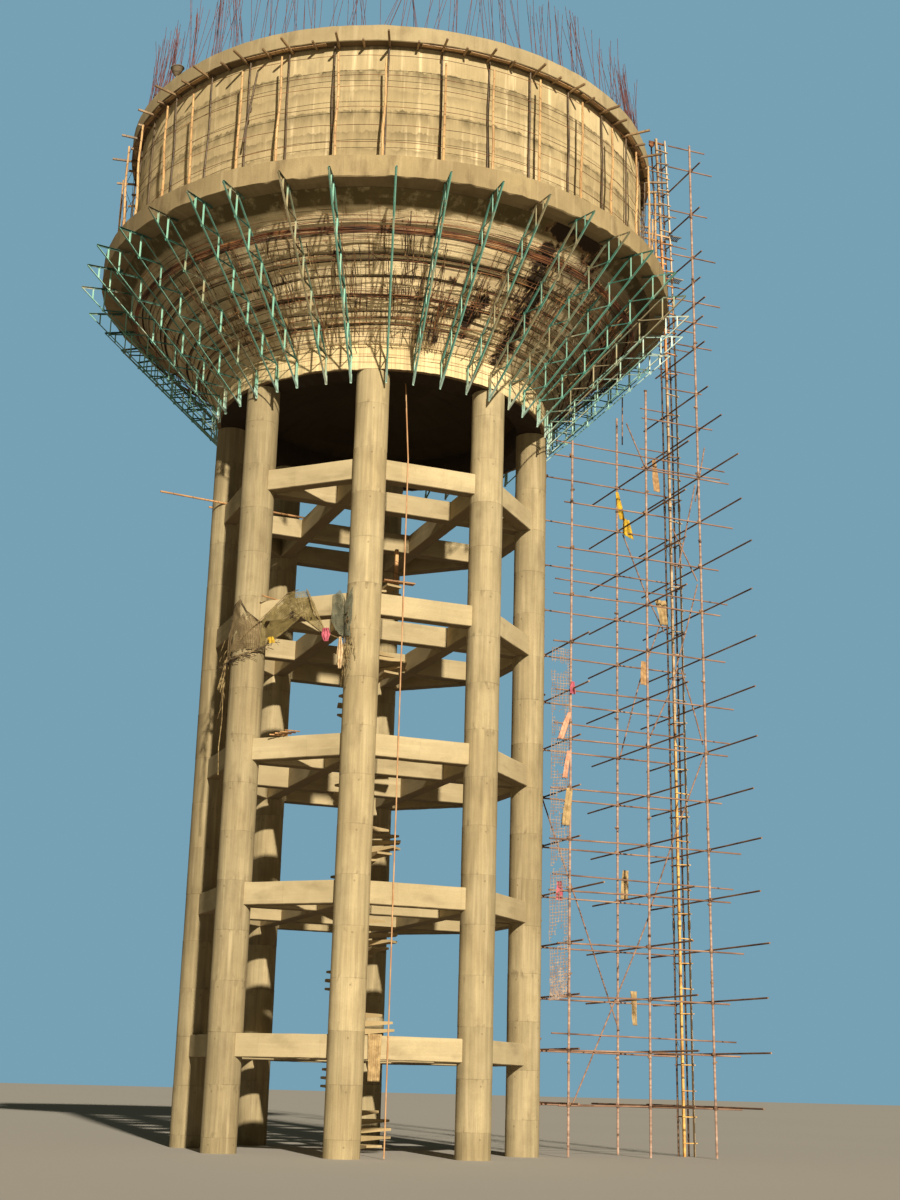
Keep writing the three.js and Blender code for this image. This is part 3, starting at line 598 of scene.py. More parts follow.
def cone_finish():
    """Plank bands in tan, ochre, brown and grey, with rust and crusts of lime. The ledges, the recessed
    strips and thin lines along the bands are painted dark as shade, the smooth top band is painted dark as
    the gallery's shadow, the two sides are painted darker as shade, and all of it is lightened towards its
    foot as painted light.
    """
    f = Finish("plank_cast_concrete", 0.93)
    f.shader.inputs["Specular IOR Level"].default_value = 0.2
    tone = f.own("tone")
    level = f.level()
    grainy = f.streak(0.8, 26.0, 4.0)
    bands = f.streak(0.1, 3.4)
    lines = f.streak(0.22, 10.0, 2.0)
    rusty = f.streak(0.3, 13.0, 2.0, 4.0)
    broad = f.cloud(0.55, detail=5.0)
    blotch = f.cloud(3.2, detail=6.0, roughness=0.65)
    grain = f.cloud(42.0, detail=3.0)
    tan = f.stained((0.42, 0.325, 0.18), tone, 0.1, 0.4, (0.58, 0.45, 0.25))
    tan = f.stained(tan, tone, 0.5, 1.0, (0.8, 0.64, 0.37))
    # Painted shadow: the smooth top band is painted near-black brown, as the gallery's shadow over it.
    plain = f.stained((0.095, 0.069, 0.027), broad, 0.35, 0.65, (0.15, 0.11, 0.046))
    plain = f.stained(plain, blotch, 0.52, 0.66, (0.4, 0.315, 0.17), 0.6)
    below_gallery_shadow = f.span(level, 22.42, 22.36)
    colour = f.stained(tan, bands, 0.5, 0.58, (0.27, 0.205, 0.115), 0.4)
    patch = f.span(f.cloud(0.9, f.drawn((1.0, 1.0, 2.2)), 4.0), 0.50, 0.54)
    colour = f.blend(patch, colour, (0.6, 0.475, 0.27))
    colour = f.stained(colour, broad, 0.52, 0.68, (0.36, 0.26, 0.14), 0.5)
    across = f.calc("DIVIDE", f.parts(f.place)[0], f.less(level, 15.2))
    rim = f.plus(across, f.times(f.less(blotch, 0.5), 0.25))
    plain_side = f.span(rim, 0.36, 0.41)
    colour = f.blend(f.times(plain_side, 0.8), colour, (0.36, 0.285, 0.165))
    planked = f.times(below_gallery_shadow, f.span(plain_side, 0.0, 1.0, 1.0, 0.25))
    colour = f.blend(below_gallery_shadow, plain, colour)
    shade = f.times(f.span(grainy, 0.3, 0.7, 0.92, 1.07), f.span(grain, 0.3, 0.7, 0.88, 1.1))
    # Painted light: the cone is lightened by half near its foot and by a third at its top.
    shade = f.times(shade, f.span(level, 20.0, 22.2, 1.56, 1.3))
    # Painted shade: the cone's right side is darkened to about a third and its left side to about three
    # fifths.
    side_shade = f.times(f.span(across, 0.4, 0.76, 1.0, 0.36), f.span(across, -0.62, -0.92, 1.0, 0.58))
    side_shade = f.plus(side_shade, f.span(blotch, 0.5, 0.7, 0.0, 0.08))
    shade = f.times(shade, side_shade)
    colour = f.shaded(colour, shade)
    # Painted shade: the recessed strips between planks are darkened.
    strip = f.times(f.span(tone, 0.12, 0.08, 0.0, 0.8), planked)
    colour = f.blend(strip, colour, (0.19, 0.145, 0.08))
    # Painted shade: thin dark lines along the bands, standing for the ledges' shadows.
    ledge_line_shade = f.times(f.span(lines, 0.645, 0.665, 0.0, 0.75), planked)
    colour = f.blend(ledge_line_shade, colour, (0.085, 0.052, 0.026))
    colour = f.blend(f.times(f.span(rusty, 0.65, 0.67, 0.0, 0.65), planked), colour, (0.34, 0.15, 0.05))
    # Painted shade: the ledge faces of tone 0 are painted near black.
    colour = f.stained(colour, tone, 0.03, 0.0, (0.06, 0.036, 0.018))
    drips = f.streak(9.0, 1.1, 5.0)
    colour = f.stained(colour, drips, 0.6, 0.7, (0.26, 0.12, 0.05), 0.5)
    crust = f.times(f.span(blotch, 0.58, 0.66), f.span(level, 22.0, 21.3))
    crust = f.times(crust, f.span(broad, 0.54, 0.42))
    colour = f.blend(crust, colour, (0.88, 0.73, 0.46))
    colour = f.stained(colour, blotch, 0.36, 0.28, (0.13, 0.08, 0.04), 0.8)
    torn = f.times(f.less(f.cloud(3.6, detail=8.0, roughness=0.72), 0.5), 2.0)
    edge = f.plus(f.own("stain"), torn)
    colour = f.stained(colour, edge, 0.36, 0.52, (0.2, 0.095, 0.04), 0.7)
    colour = f.stained(colour, edge, 0.5, 0.6, (0.028, 0.017, 0.01), 0.95)
    relief = f.plus(f.times(grainy, 0.6), f.times(grain, 0.5))
    relief = f.less(f.plus(relief, f.times(blotch, 1.4)), ledge_line_shade)
    return f.dress(colour, relief, 0.018)


def face_radius(height):
    """How far the cone's face lies from the axis at a height."""
    share = (height - CONE_LOW[1]) / (CONE_HIGH[1] - CONE_LOW[1])
    return CONE_LOW[0] + share * (CONE_HIGH[0] - CONE_LOW[0])


def mark_stains(piece, spots):
    """Gives each point a stain from 0 to 1 by its distance from dark spots: (plan angle,
    height, size, strength)."""
    centres = [(plan(angle, face_radius(height), height), size, strength)
               for angle, height, size, strength in spots]
    values = []
    for vertex in piece.data.vertices:
        value = 0.0
        if vertex.co.xy.length > face_radius(vertex.co.z) - CONE_THICKNESS / 2:
            for place, size, strength in centres:
                near = (vertex.co - place).length / size
                value = max(value, strength * min(1.0, max(0.0, 1.35 - near)))
        values.append(value)
    layer = piece.data.attributes.new("stain", "FLOAT", "POINT")
    layer.data.foreach_set("value", values)


cone_piece = cone.piece("cone", cone_finish(), crease=30.0)
mark_stains(cone_piece, [
    (18.0, 22.7, 0.6, 0.85), (25.8, 22.7, 0.6, 0.9), (29.3, 22.3, 0.4, 0.7), (16.9, 22.1, 0.38, 0.9),
    (17.4, 21.85, 0.34, 0.9), (18.0, 21.6, 0.38, 0.95), (18.6, 21.35, 0.36, 0.9), (19.2, 21.1, 0.40, 0.95),
    (19.5, 20.82, 0.38, 0.95), (20.0, 20.55, 0.34, 0.9), (20.4, 20.3, 0.32, 0.9),
    (19.3, 19.98, 0.28, 0.85), (6.8, 20.92, 0.23, 1.0), (5.4, 20.69, 0.27, 1.0), (4.0, 20.48, 0.23, 1.0),
    (-2.9, 21.21, 0.16, 0.75), (-3.5, 20.05, 0.18, 0.75), (4.7, 20.24, 0.18, 0.75), (-30, 21.5, 0.3, 0.55),
    (96, 21.4, 0.4, 0.6), (150, 22.3, 0.5, 0.7), (-140, 21.0, 0.4, 0.6), (-97, 20.8, 0.35, 0.5),
])
seat(cone_piece, "cone_")

# Gallery: the ring slab that stands out round the cone's top, with a plain face and a torn
# lower lip. Its top is the walk round the wall.
gallery_concrete = concrete(
    "gallery_concrete", pale=(0.40, 0.30, 0.15), dull=(0.30, 0.22, 0.108), dark=(0.12, 0.08, 0.038),
    board=1.9, lift=1.4, streaks=0.04, tones=0.08, seams=0.15, joints=0.0, runs=0.35, grime=0.75,
    depth=0.02,
)
# Painted shade: the gallery is darkened towards its left side, round 278 degrees.
GALLERY_SHADE_TONES = [0.12 + 0.38 * min(1.0, abs(angle - 278) / 25) for angle in RING_ANGLES]
gallery = Casting()
turned(gallery, [
    (7.99, 22.722), (8.016, 22.745), (8.012, 22.95), (8.016, 23.29), (7.99, 23.308),
    (7.55, 23.308), (7.075, 23.308), (7.073, 23.0), (7.075, 22.725), (7.5, 22.722),
], torn={0: 0.04, 1: 0.034, 3: 0.015, 4: 0.015}, wave=0.010, seed=8, start=0.05, tones=GALLERY_SHADE_TONES)
seat(gallery.piece("gallery", gallery_concrete), "gallery_ring")

# Wall: the tank's upright side, 0.2 m thick, poured in three lifts. Each pour left a dark,
# rough band, and lime has run down below the hoops.
wall_concrete = concrete(
    "wall_concrete", pale=(0.54, 0.42, 0.225), dull=(0.42, 0.32, 0.163), dark=(0.14, 0.105, 0.05),
    board=0.62, lift=1.17, streaks=0.08, tones=0.05, seams=0.12, joints=0.2, runs=0.85, grime=0.42,
    bands=[(26.86, 0.22, 0.9), (26.12, 0.42, 0.95), (25.55, 0.22, 0.45), (24.98, 0.42, 0.95),
           (24.38, 0.3, 0.6), (23.9, 0.2, 0.6)],
)
# Painted light: the wall is lightened towards its two sides, and least where it faces the viewer and the
# key light.
WALL_PAINTED_LIGHT_TONES = [0.42 + 0.58 * math.sin(math.radians(angle + 16)) ** 2 for angle in RING_ANGLES]
wall = Casting()
turned(wall, [
    (7.266, 23.311), (7.268, 23.75), (7.258, 24.45), (7.27, 24.49), (7.264, 25.1), (7.256, 25.62),
    (7.268, 25.66), (7.266, 26.3), (7.262, 26.819),
    (7.074, 26.819), (7.074, 25.4), (7.074, 24.2), (7.074, 23.311),
], wave=0.008, seed=12, start=23.311, tones=WALL_PAINTED_LIGHT_TONES)
seat(wall.piece("tank_wall", wall_concrete), "tank_wall_")

# Kerb: the ring on the wall's top that the roof will start from, paler than the wall, with its soffit
# painted dark as shade and a rough top where the starter bars come out.
kerb_concrete = concrete(
    "kerb_concrete", pale=(0.43, 0.335, 0.18), dull=(0.33, 0.25, 0.13), dark=(0.12, 0.08, 0.04),
    board=1.1, lift=0.9, streaks=0.03, tones=0.04, seams=0.25, joints=0.0, runs=0.3, grime=0.45, under=0.95,
)
kerb = Casting()
turned(kerb, [
    (7.5, 26.822), (7.517, 26.84), (7.51, 27.05), (7.516, 27.255), (7.5, 27.274),
    (7.3, 27.268), (7.09, 27.274), (7.074, 27.25), (7.074, 26.84), (7.09, 26.822),
], torn={0: 0.012, 1: 0.01, 3: 0.012, 4: 0.014, 5: 0.01}, wave=0.007, seed=15, start=0.1)
seat(kerb.piece("top_kerb", kerb_concrete), "top_kerb")

# Spiral stair: wedge-shaped concrete treads that stand out of a round post on the tower's
# axis, twelve to a turn, thicker at the post, up to a small landing.
TREADS = 73
TREAD_RISE = 0.2
TREAD_TURN = 30.0
TREAD_SWEEP = 29.4
STAIR_RADIUS = 0.9
POST_RADIUS = 0.148
POST_TOP = 15.6
LANDING_LEVEL = 14.62


def unit_circle(corners):
    """The cosine and sine of evenly spaced turns, for round sections."""
    return [(math.cos(t), math.sin(t)) for t in np.linspace(0, 2 * math.pi, corners + 1)[:-1]]


class Growth:
    """A Geometry Nodes tree with named inputs. It is run once and leaves one plain mesh."""

    def __init__(self, name, **sizes):
        self.name = name
        self.tree = bpy.data.node_groups.new(name, "GeometryNodeTree")
        face = self.tree.interface
        face.new_socket("Marks", in_out="INPUT", socket_type="NodeSocketGeometry")
        self.values = {}
        for label, value in sizes.items():
            kind = "NodeSocketInt" if isinstance(value, int) else "NodeSocketFloat"
            socket = face.new_socket(label, in_out="INPUT", socket_type=kind)
            self.values[socket.identifier] = value
        face.new_socket("Piece", in_out="OUTPUT", socket_type="NodeSocketGeometry")
        self.inlet = self.tree.nodes.new("NodeGroupInput")

    def add(self, kind, inputs=(), **settings):
        return add_node(self.tree, kind, inputs, **settings)

    def size(self, label):
        return self.inlet.outputs[label]

    def carried(self, label, kind="FLOAT_VECTOR"):
        """A value that the marks carry."""
        return self.add("GeometryNodeInputNamedAttribute", {"Name": label}, data_type=kind).outputs[0]

    def scaled(self, vector, factor):
        return self.add("ShaderNodeVectorMath", {0: vector, "Scale": factor}, operation="SCALE").outputs[0]

    def total(self, first, second):
        return self.add("ShaderNodeVectorMath", {0: first, 1: second}, operation="ADD").outputs[0]

    def chance(self, low, high, seed):
        """A random vector for each mark."""
        inputs = {0: low, 1: high, "Seed": seed}
        return self.add("FunctionNodeRandomValue", inputs, data_type="FLOAT_VECTOR").outputs[0]

    def run(self, marks, result, finish):
        whole = self.add("GeometryNodeRealizeInstances", {0: result})
        dressed = self.add("GeometryNodeSetMaterial", {"Geometry": whole.outputs[0], "Material": finish})
        self.add("NodeGroupOutput", {0: dressed.outputs[0]})
        piece = placed(self.name, marks)
        growth = piece.modifiers.new("Growth", "NODES")
        growth.node_group = self.tree
        for identifier, value in self.values.items():
            growth[identifier] = value
        graph = bpy.context.evaluated_depsgraph_get()
        mesh = bpy.data.meshes.new_from_object(piece.evaluated_get(graph), depsgraph=graph)
        piece.modifiers.remove(growth)
        piece.data = mesh
        return piece


def copies(name, mould, places, finish, lean=0.0, seed=1):
    """Sets copies of a mould out at places: (point, turn about x, y, z, size along x, y, z, age).
    Lean is the most that a copy tips by chance."""
    marks = bpy.data.meshes.new(name)
    marks.from_pydata([place[0] for place in places], [], [])
    for label, column in (("turn", 1), ("size", 2)):
        layer = marks.attributes.new(label, "FLOAT_VECTOR", "POINT")
        layer.data.foreach_set("vector", [value for place in places for value in place[column]])
    layer = marks.attributes.new("age", "FLOAT", "POINT")
    layer.data.foreach_set("value", [place[3] if len(place) > 3 else 0.0 for place in places])
    g = Growth(name, Lean=lean, Seed=seed)
    tip = g.scaled(g.chance((-1, -1, -0.3), (1, 1, 0.3), g.size("Seed")), g.size("Lean"))
    turn = g.add("FunctionNodeEulerToRotation", {0: g.total(g.carried("turn"), tip)}).outputs[0]
    shape = g.add("GeometryNodeObjectInfo", {"Object": mould}).outputs["Geometry"]
    inputs = {
        "Points": g.size("Marks"), "Instance": shape, "Rotation": turn, "Scale": g.carried("size"),
    }
    piece = g.run(marks, g.add("GeometryNodeInstanceOnPoints", inputs).outputs[0], finish)
    bpy.data.objects.remove(mould)
    return piece


stair_concrete = concrete(
    "stair_concrete", pale=(0.50, 0.375, 0.195), dull=(0.37, 0.27, 0.13), dark=(0.11, 0.07, 0.035),
    board=0.3, lift=1.4, streaks=0.04, runs=0.2, grime=0.5,
)
tread = Casting()
stations = []
reaches = [0.1, 0.14, 0.5, 0.88, STAIR_RADIUS]
for reach in reaches:
    half = 0.5 * math.radians(TREAD_SWEEP) * max(reach, 0.24)
    deep = 0.15 - 0.09 * (reach - 0.1) / 0.8
    top = -0.003 if reach in (0.1, STAIR_RADIUS) else 0.0
    stations.append([
        (reach, -half, -deep), (reach, half, -deep), (reach, half + 0.002, top - 0.012),
        (reach, half - 0.01, top), (reach, -half + 0.01, top), (reach, -half - 0.002, top - 0.012),
    ])
tread.shell(stations, np.array([0.0, 0.4, 0.5, 0.52, 0.9, 0.92, 1.0]), np.array(reaches))
mould = tread.piece("tread", stair_concrete)
places = []
for step in range(TREADS):
    turn = math.radians(TREAD_TURN * (step + 0.5) - 90.0)
    places.append(((0, 0, (step + 1) * TREAD_RISE), (0, 0, turn), (1, 1, 1)))
seat(copies("stair_treads", mould, places, stair_concrete, lean=0.006), "spiral_stair")
post = Casting()
heights = [0.0, 0.02] + [0.4 * k for k in range(1, 39)] + [POST_TOP - 0.02, POST_TOP]
grid = []
for z in heights:
    radius = POST_RADIUS if 0.0 < z < POST_TOP else POST_RADIUS - 0.008
    grid.append([(radius * c, radius * s, z) for c, s in unit_circle(24)])
post.shell(waver(np.array(grid), 0.5, 0.003), np.linspace(0.0, 0.94, 25), np.array(heights))
landing = [(0.12, 0.0), (STAIR_RADIUS, 0.0), (STAIR_RADIUS, 0.1), (0.12, 0.1)]
slab = [[(x * math.cos(t), x * math.sin(t), LANDING_LEVEL + z) for x, z in landing]
        for t in np.linspace(math.radians(20), math.radians(110), 13)]
post.shell(slab, np.array([0.0, 0.8, 0.85, 1.6, 1.7]), np.linspace(0.0, 1.4, 13))
seat(post.piece("stair_post", stair_concrete))

# Formwork frames: forty light lattice girders of welded angle bar that held up the cone's
# planks and still hang from it, bolted to the ring beam. Their blue-green paint is worn, and
# some are splashed with cement or bare.
FRAME_TIP = (8.51, 22.69)
FRAME_FOOT = 4.625
FRAME_STEP = 0.636
FRAME_SLOPE = 0.9897
BARE_FRAMES = (-64, -38, 8, 18, 28, 54)
BARE_AGE = 0.85
CHALKED_AGE = 1.7


def add_bar(casting, start, end, wide, thick, shape="angle", turn=(0, 1, 0), tone=0.5):
    """A straight bar: an angle of two thin legs, or a flat of one."""
    start, end = Vector(start), Vector(end)
    ahead = (end - start).normalized()
    side = Vector(turn)
    side = (side - ahead * side.dot(ahead)).normalized()
    up = ahead.cross(side)
    if shape == "angle":
        w, t = wide / 2, thick
        section = [(-w, -w), (w, -w), (w, -w + t), (-w + t, -w + t), (-w + t, w), (-w, w)]
    else:
        w, t = wide / 2, thick / 2
        section = [(-t, -w), (t, -w), (t, w), (-t, w)]
    grid = [[point + side * a + up * b for a, b in section] for point in (start, end)]
    length = (end - start).length
    casting.shell(grid, np.linspace(0, 4 * wide, len(section) + 1), np.array([0.0, length]), tone)


def frame_finish():
    """Worn blue-green paint over rust, with splashes of cement and brighter bare wear. Upright bars are
    painted pale (tone 1) and level ones dark (tone 0) as painted light and shade, and each frame has its
    own age."""
    f = Finish("frame_paint", 0.55)
    f.shader.inputs["Specular IOR Level"].default_value = 0.35
    tone, age = f.own("tone"), f.own("age")
    wear = f.cloud(5.0, detail=6.0, roughness=0.7)
    broad = f.cloud(0.8, detail=3.0)
    speck = f.cloud(42.0, detail=3.0)
    paint = f.stained((0.02, 0.075, 0.055), tone, 0.0, 0.5, (0.07, 0.25, 0.185))
    paint = f.stained(paint, tone, 0.5, 1.0, (0.3, 0.56, 0.42))
    paint = f.stained(paint, broad, 0.45, 0.68, (0.2, 0.42, 0.32), 0.45)
    straw = f.stained((0.13, 0.1, 0.05), tone, 0.0, 1.0, (0.42, 0.36, 0.2))
    wear_and_light = f.calc("PINGPONG", age, 1.0)
    bare = f.span(f.plus(wear_and_light, f.times(f.less(broad, 0.5), 1.6)), 0.75, 0.95)
    paint = f.blend(bare, paint, straw)
    chalk = f.stained((0.26, 0.36, 0.31), tone, 0.0, 1.0, (0.7, 0.8, 0.7))
    chalked = f.times(f.span(age, 1.2, 1.5), f.span(f.level(), 21.2, 22.4, 0.15, 0.9))
    paint = f.blend(chalked, paint, chalk)
    rust = f.stained((0.14, 0.05, 0.022), speck, 0.35, 0.65, (0.27, 0.11, 0.045))
    colour = f.stained(paint, wear, 0.6, 0.68, rust)
    splash = f.times(f.span(f.cloud(1.1, detail=6.0, roughness=0.7), 0.55, 0.63), f.span(speck, 0.3, 0.5))
    colour = f.blend(f.times(splash, 0.75), colour, (0.5, 0.42, 0.26))
    colour = f.stained(colour, f.level(), 19.2, 19.0, (0.45, 0.56, 0.48), 0.6)
    relief = f.plus(wear, f.times(speck, 0.4))
    return f.dress(colour, relief, 0.002, f.span(wear, 0.4, 0.7, 0.45, 0.85))


frame_paint = frame_finish()
girder = Casting()
tip_r, tip_z = FRAME_TIP
foot_z = tip_z - (tip_r - FRAME_FOOT) * FRAME_SLOPE
shoulder_r = tip_r - FRAME_STEP
drop = FRAME_STEP * FRAME_SLOPE
# Painted light and shade: one chord of each pair gets a dark tone and the other a pale one; below, level
# bars get dark tones and upright bars pale ones.
for side, wear_and_light in ((-0.014, 0.35), (0.014, 0.8)):
    add_bar(girder, (FRAME_FOOT, side, foot_z - 0.02), (tip_r, side, tip_z), 0.026, 0.005, tone=wear_and_light)
    add_bar(girder, (4.64, side, foot_z + 0.62), (shoulder_r, side, tip_z), 0.024, 0.005, tone=wear_and_light - 0.15)
add_bar(girder, (tip_r + 0.01, 0.01, tip_z), (7.56, 0.01, tip_z), 0.045, 0.006, tone=0.0)
half = tip_r - FRAME_STEP / 2
add_bar(girder, (half, 0, tip_z), (half, 0, tip_z - drop / 2), 0.04, 0.006, tone=0.9)
for node in range(6):
    r = tip_r - FRAME_STEP * node
    z = tip_z - drop * node
    inner_r = r - FRAME_STEP
    plates = [(inner_r, 0.03)]
    if node:
        add_bar(girder, (r, 0.008, z), (inner_r, 0.008, z), 0.03, 0.005, tone=0.12)
        plates.append((r, 0.04))
    add_bar(girder, (inner_r, 0.0, z), (inner_r, 0.0, z - drop), 0.034, 0.006, tone=1.0)
    for joint_r, reach in plates:
        start, end = (joint_r - reach, -0.02, z + 0.02), (joint_r + reach, -0.02, z - 0.02)
        add_bar(girder, start, end, 0.06, 0.006, "flat")
add_bar(girder, (4.633, 0.0, 19.44), (4.633, 0.0, 18.86), 0.05, 0.008, "flat", tone=0.8)
add_bar(girder, (4.655, 0.0, 19.02), (4.628, 0.0, 18.78), 0.046, 0.008, "angle", tone=1.0)
frame_angles = [
    -128.4, -120.6, -111.6, -100.4, -91.1, -82.0, -74.1, -64.5, -54.6, -47.7, -37.9, -28.7, -18.3,
    -8.7, 0.2, 8.0, 17.9, 27.6, 35.7, 45.0, 54.1,
] + [63.0 + 9.0 * k for k in range(19)]
chance = random.Random(2)
places = []
for angle in frame_angles:
    age = BARE_AGE if round(angle) in BARE_FRAMES else chance.uniform(0.0, 0.5)
    if 60 < angle < 85:
        age = CHALKED_AGE
    places.append(((0, 0, 0), (0, 0, math.radians(angle - 90)), (1, 1, 1), age))
frames = copies("formwork_frames", girder.piece("girder", frame_paint), places, frame_paint, lean=0.004)
seat(frames, "formwork_frames_")

# Form rods: rusty hoops of reinforcing bar that run round the frames' upper nodes and the
# cone's planks, with loose rods down the slope, tie wires and split straw between them.
HOOP_ENDS = 24
SLOPE_RODS = 64
TIE_CLUSTERS = 75
TWIGS = 160
TWIG_SPOTS = [-42, -33, -20, -8, 8, 14, 20, 26, 34, 44]
STRAW_HEAPS = [(18.0, 0.9, 3.3), (5.0, 2.0, 2.75), (-1.6, 2.6, 2.8)]


def bars(name, runs, thickness, finish, sides=6, wander=0.0, seed=1):
    """Round bars along runs of points: (points, closed, share of the thickness)."""
    points, joins, shares = [], [], []
    for run, closed, share in runs:
        first = len(points)
        points += [tuple(point) for point in run]
        shares += [share] * len(run)
        joins += [(first + k, first + k + 1) for k in range(len(run) - 1)]
        if closed:
            joins.append((len(points) - 1, first))
    marks = bpy.data.meshes.new(name)
    marks.from_pydata(points, joins, [])
    layer = marks.attributes.new("share", "FLOAT", "POINT")
    layer.data.foreach_set("value", shares)
    g = Growth(name, Thickness=thickness / 2, Sides=sides, Wander=wander, Seed=seed)
    line = g.add("GeometryNodeMeshToCurve", {"Mesh": g.size("Marks")}).outputs[0]
    place = g.add("GeometryNodeInputPosition").outputs[0]
    inputs = {"Vector": place, "W": g.size("Seed"), "Scale": 1.1, "Detail": 3.0}
    drift = g.add("ShaderNodeTexNoise", inputs, noise_dimensions="4D").outputs["Color"]
    drift = g.scaled(g.total(drift, (-0.5, -0.5, -0.5)), g.size("Wander"))
    line = g.add("GeometryNodeSetPosition", {"Geometry": line, "Offset": drift}).outputs[0]
    inputs = {"Resolution": g.size("Sides"), "Radius": g.size("Thickness")}
    section = g.add("GeometryNodeCurvePrimitiveCircle", inputs, mode="RADIUS").outputs[0]
    share = g.carried("share", "FLOAT")
    inputs = {"Curve": line, "Profile Curve": section, "Scale": share, "Fill Caps": True}
    return g.run(marks, g.add("GeometryNodeCurveToMesh", inputs).outputs[0], finish)


def hoop(radius, height):
    """Points all round the axis at a radius and a height."""
    return [plan(3.0 * k, radius, height) for k in range(120)]


def on_slope(angle, along, out):
    """The point that far down the cone from its top edge, and that far out from its face."""
    radius = CONE_HIGH[0] + slope.x * along + slope_out.x * out
    return plan(angle, radius, CONE_HIGH[1] + slope.y * along + slope_out.y * out)


def strewn(shares, angle, along, out, drift, reach, rise=0.0, last=4.1):
    """A run down the slope from a point on it, that drifts aside and rises off the face."""
    return [on_slope(angle + drift * t, min(last, along + reach * t), out + rise * t) for t in shares]


def rust_finish(name, deep, mid, bright, roughness=0.85):
    """Rust in three tones, in patches along and between the bars."""
    f = Finish(name, roughness)
    patch = f.cloud(1.0, f.drawn((1.1, 1.1, 9.0)), 4.0, 0.65)
    speck = f.cloud(60.0, detail=2.0)
    colour = f.stained(deep, patch, 0.35, 0.5, mid)
    colour = f.stained(colour, patch, 0.52, 0.66, bright)
    colour = f.stained(colour, speck, 0.5, 0.7, deep, 0.5)
    return f.dress(colour, speck, 0.0015)


rod_rust = rust_finish("rod_rust", (0.030, 0.013, 0.007), (0.18, 0.062, 0.021), (0.42, 0.18, 0.060))
chance = random.Random(21)
rods = []
bunch = [
    (-0.285, 0.8), (-0.265, 1.3), (-0.24, 0.9), (-0.215, 1.6), (-0.19, 0.8), (-0.17, 1.5), (-0.15, 0.8),
    (-0.02, 0.5), (0.08, 0.5),
]
pair = [(-0.13, 1.0), (-0.03, 0.6)]
for node in range(5):
    r = tip_r - FRAME_STEP * (node + 2)
    z = tip_z - drop * (node + 1)
    for gap, share in bunch if node == 0 else pair:
        run = []
        for point in hoop(r - 0.08 + 0.6 * gap, z + gap):
            point.z += 0.025 * math.sin(1.6 * point.x + 31.0 * gap) * math.cos(1.1 * point.y + 17.0 * gap)
            run.append(point)
        rods.append((run, True, share))
ties = [chance.uniform(0.75, 3.95) for tie in range(14)]
for k in range(HOOP_ENDS):
    along = chance.choice(ties) + chance.uniform(-0.07, 0.07)
    begin = chance.uniform(0, 360)
    run = []
    for angle in np.arange(begin, begin + chance.uniform(40, 160), 3.0):
        sag = 0.03 * math.sin(angle * 0.05 + k)
        run.append(on_slope(angle, along + sag, 0.07 + 0.03 * math.sin(angle * 0.3 + k)))
    rods.append((run, False, chance.uniform(0.5, 1.2)))
for z in (19.36, 19.58, 19.76):
    rods.append((hoop(4.612, z), True, 0.3))
for k in range(SLOPE_RODS):
    angle = chance.uniform(-75, 75) if k % 3 else chance.uniform(0, 360)
    along = chance.uniform(0.3, 2.6)
    reach = min(chance.uniform(0.5, 2.4), 4.1 - along)
    out = chance.uniform(0.09, 0.30)
    drift = chance.uniform(-2.5, 2.5)
    run = strewn((0.0, 0.35, 0.7, 1.0), angle, along, out, drift, reach, rise=0.1)
    rods.append((run, False, chance.uniform(0.4, 1.0)))
seat(bars("form_rods", rods, 0.022, rod_rust, sides=5, wander=0.09, seed=4))

straw = Finish("straw", 0.9)
straw_tone = straw.cloud(6.0, detail=3.0)
straw_colour = straw.stained((0.045, 0.028, 0.015), straw_tone, 0.44, 0.5, (0.19, 0.11, 0.045))
straw_colour = straw.stained(straw_colour, straw_tone, 0.57, 0.61, (0.46, 0.32, 0.13))
straw_dress = straw.dress(straw_colour, straw.cloud(40.0), 0.002)
wires = []
thirds = (0.0, 1 / 3, 2 / 3, 1.0)
halves = (0.0, 0.5, 1.0)
for cluster in range(TIE_CLUSTERS):
    angle = chance.uniform(0, 360) if cluster % 4 == 0 else chance.uniform(-70, 62)
    along = chance.uniform(0.6, 3.4)
    for strand in range(chance.randint(2, 7)):
        a = angle + chance.gauss(0, 1.1)
        s = along + chance.gauss(0, 0.12)
        reach = chance.uniform(0.4, 1.2)
        out = chance.uniform(0.08, 0.16)
        drift = chance.gauss(0, 0.5)
        run = strewn(thirds, a, s, out, drift, reach, last=3.95)
        wires.append((run, False, chance.uniform(0.6, 1.4)))
for twig in range(TWIGS):
    spot = chance.choice(TWIG_SPOTS) if twig % 5 else chance.uniform(0, 360)
    angle = spot + chance.gauss(0, 5)
    along = chance.uniform(1.2, 4.0) if twig % 3 else chance.uniform(0.7, 4.0)
    rise = chance.uniform(0.02, 0.2)
    drift = chance.uniform(-4, 4)
    run = strewn(halves, angle, along, 0.07, drift, chance.uniform(-0.3, 0.5), rise, last=4.0)
    wires.append((run, False, chance.uniform(0.5, 1.2)))
for spot, top, foot in STRAW_HEAPS:
    for bit in range(26):
        angle = spot + chance.gauss(0, 1.3)
        along = chance.uniform(top, foot)
        drift = chance.gauss(0, 1.2)
        run = strewn(halves, angle, along, 0.08, drift, chance.uniform(0.1, 0.5))
        wires.append((run, False, chance.uniform(0.6, 1.3)))
seat(bars("ties_and_straw", wires, 0.02, straw_dress, sides=4, wander=0.03, seed=9))

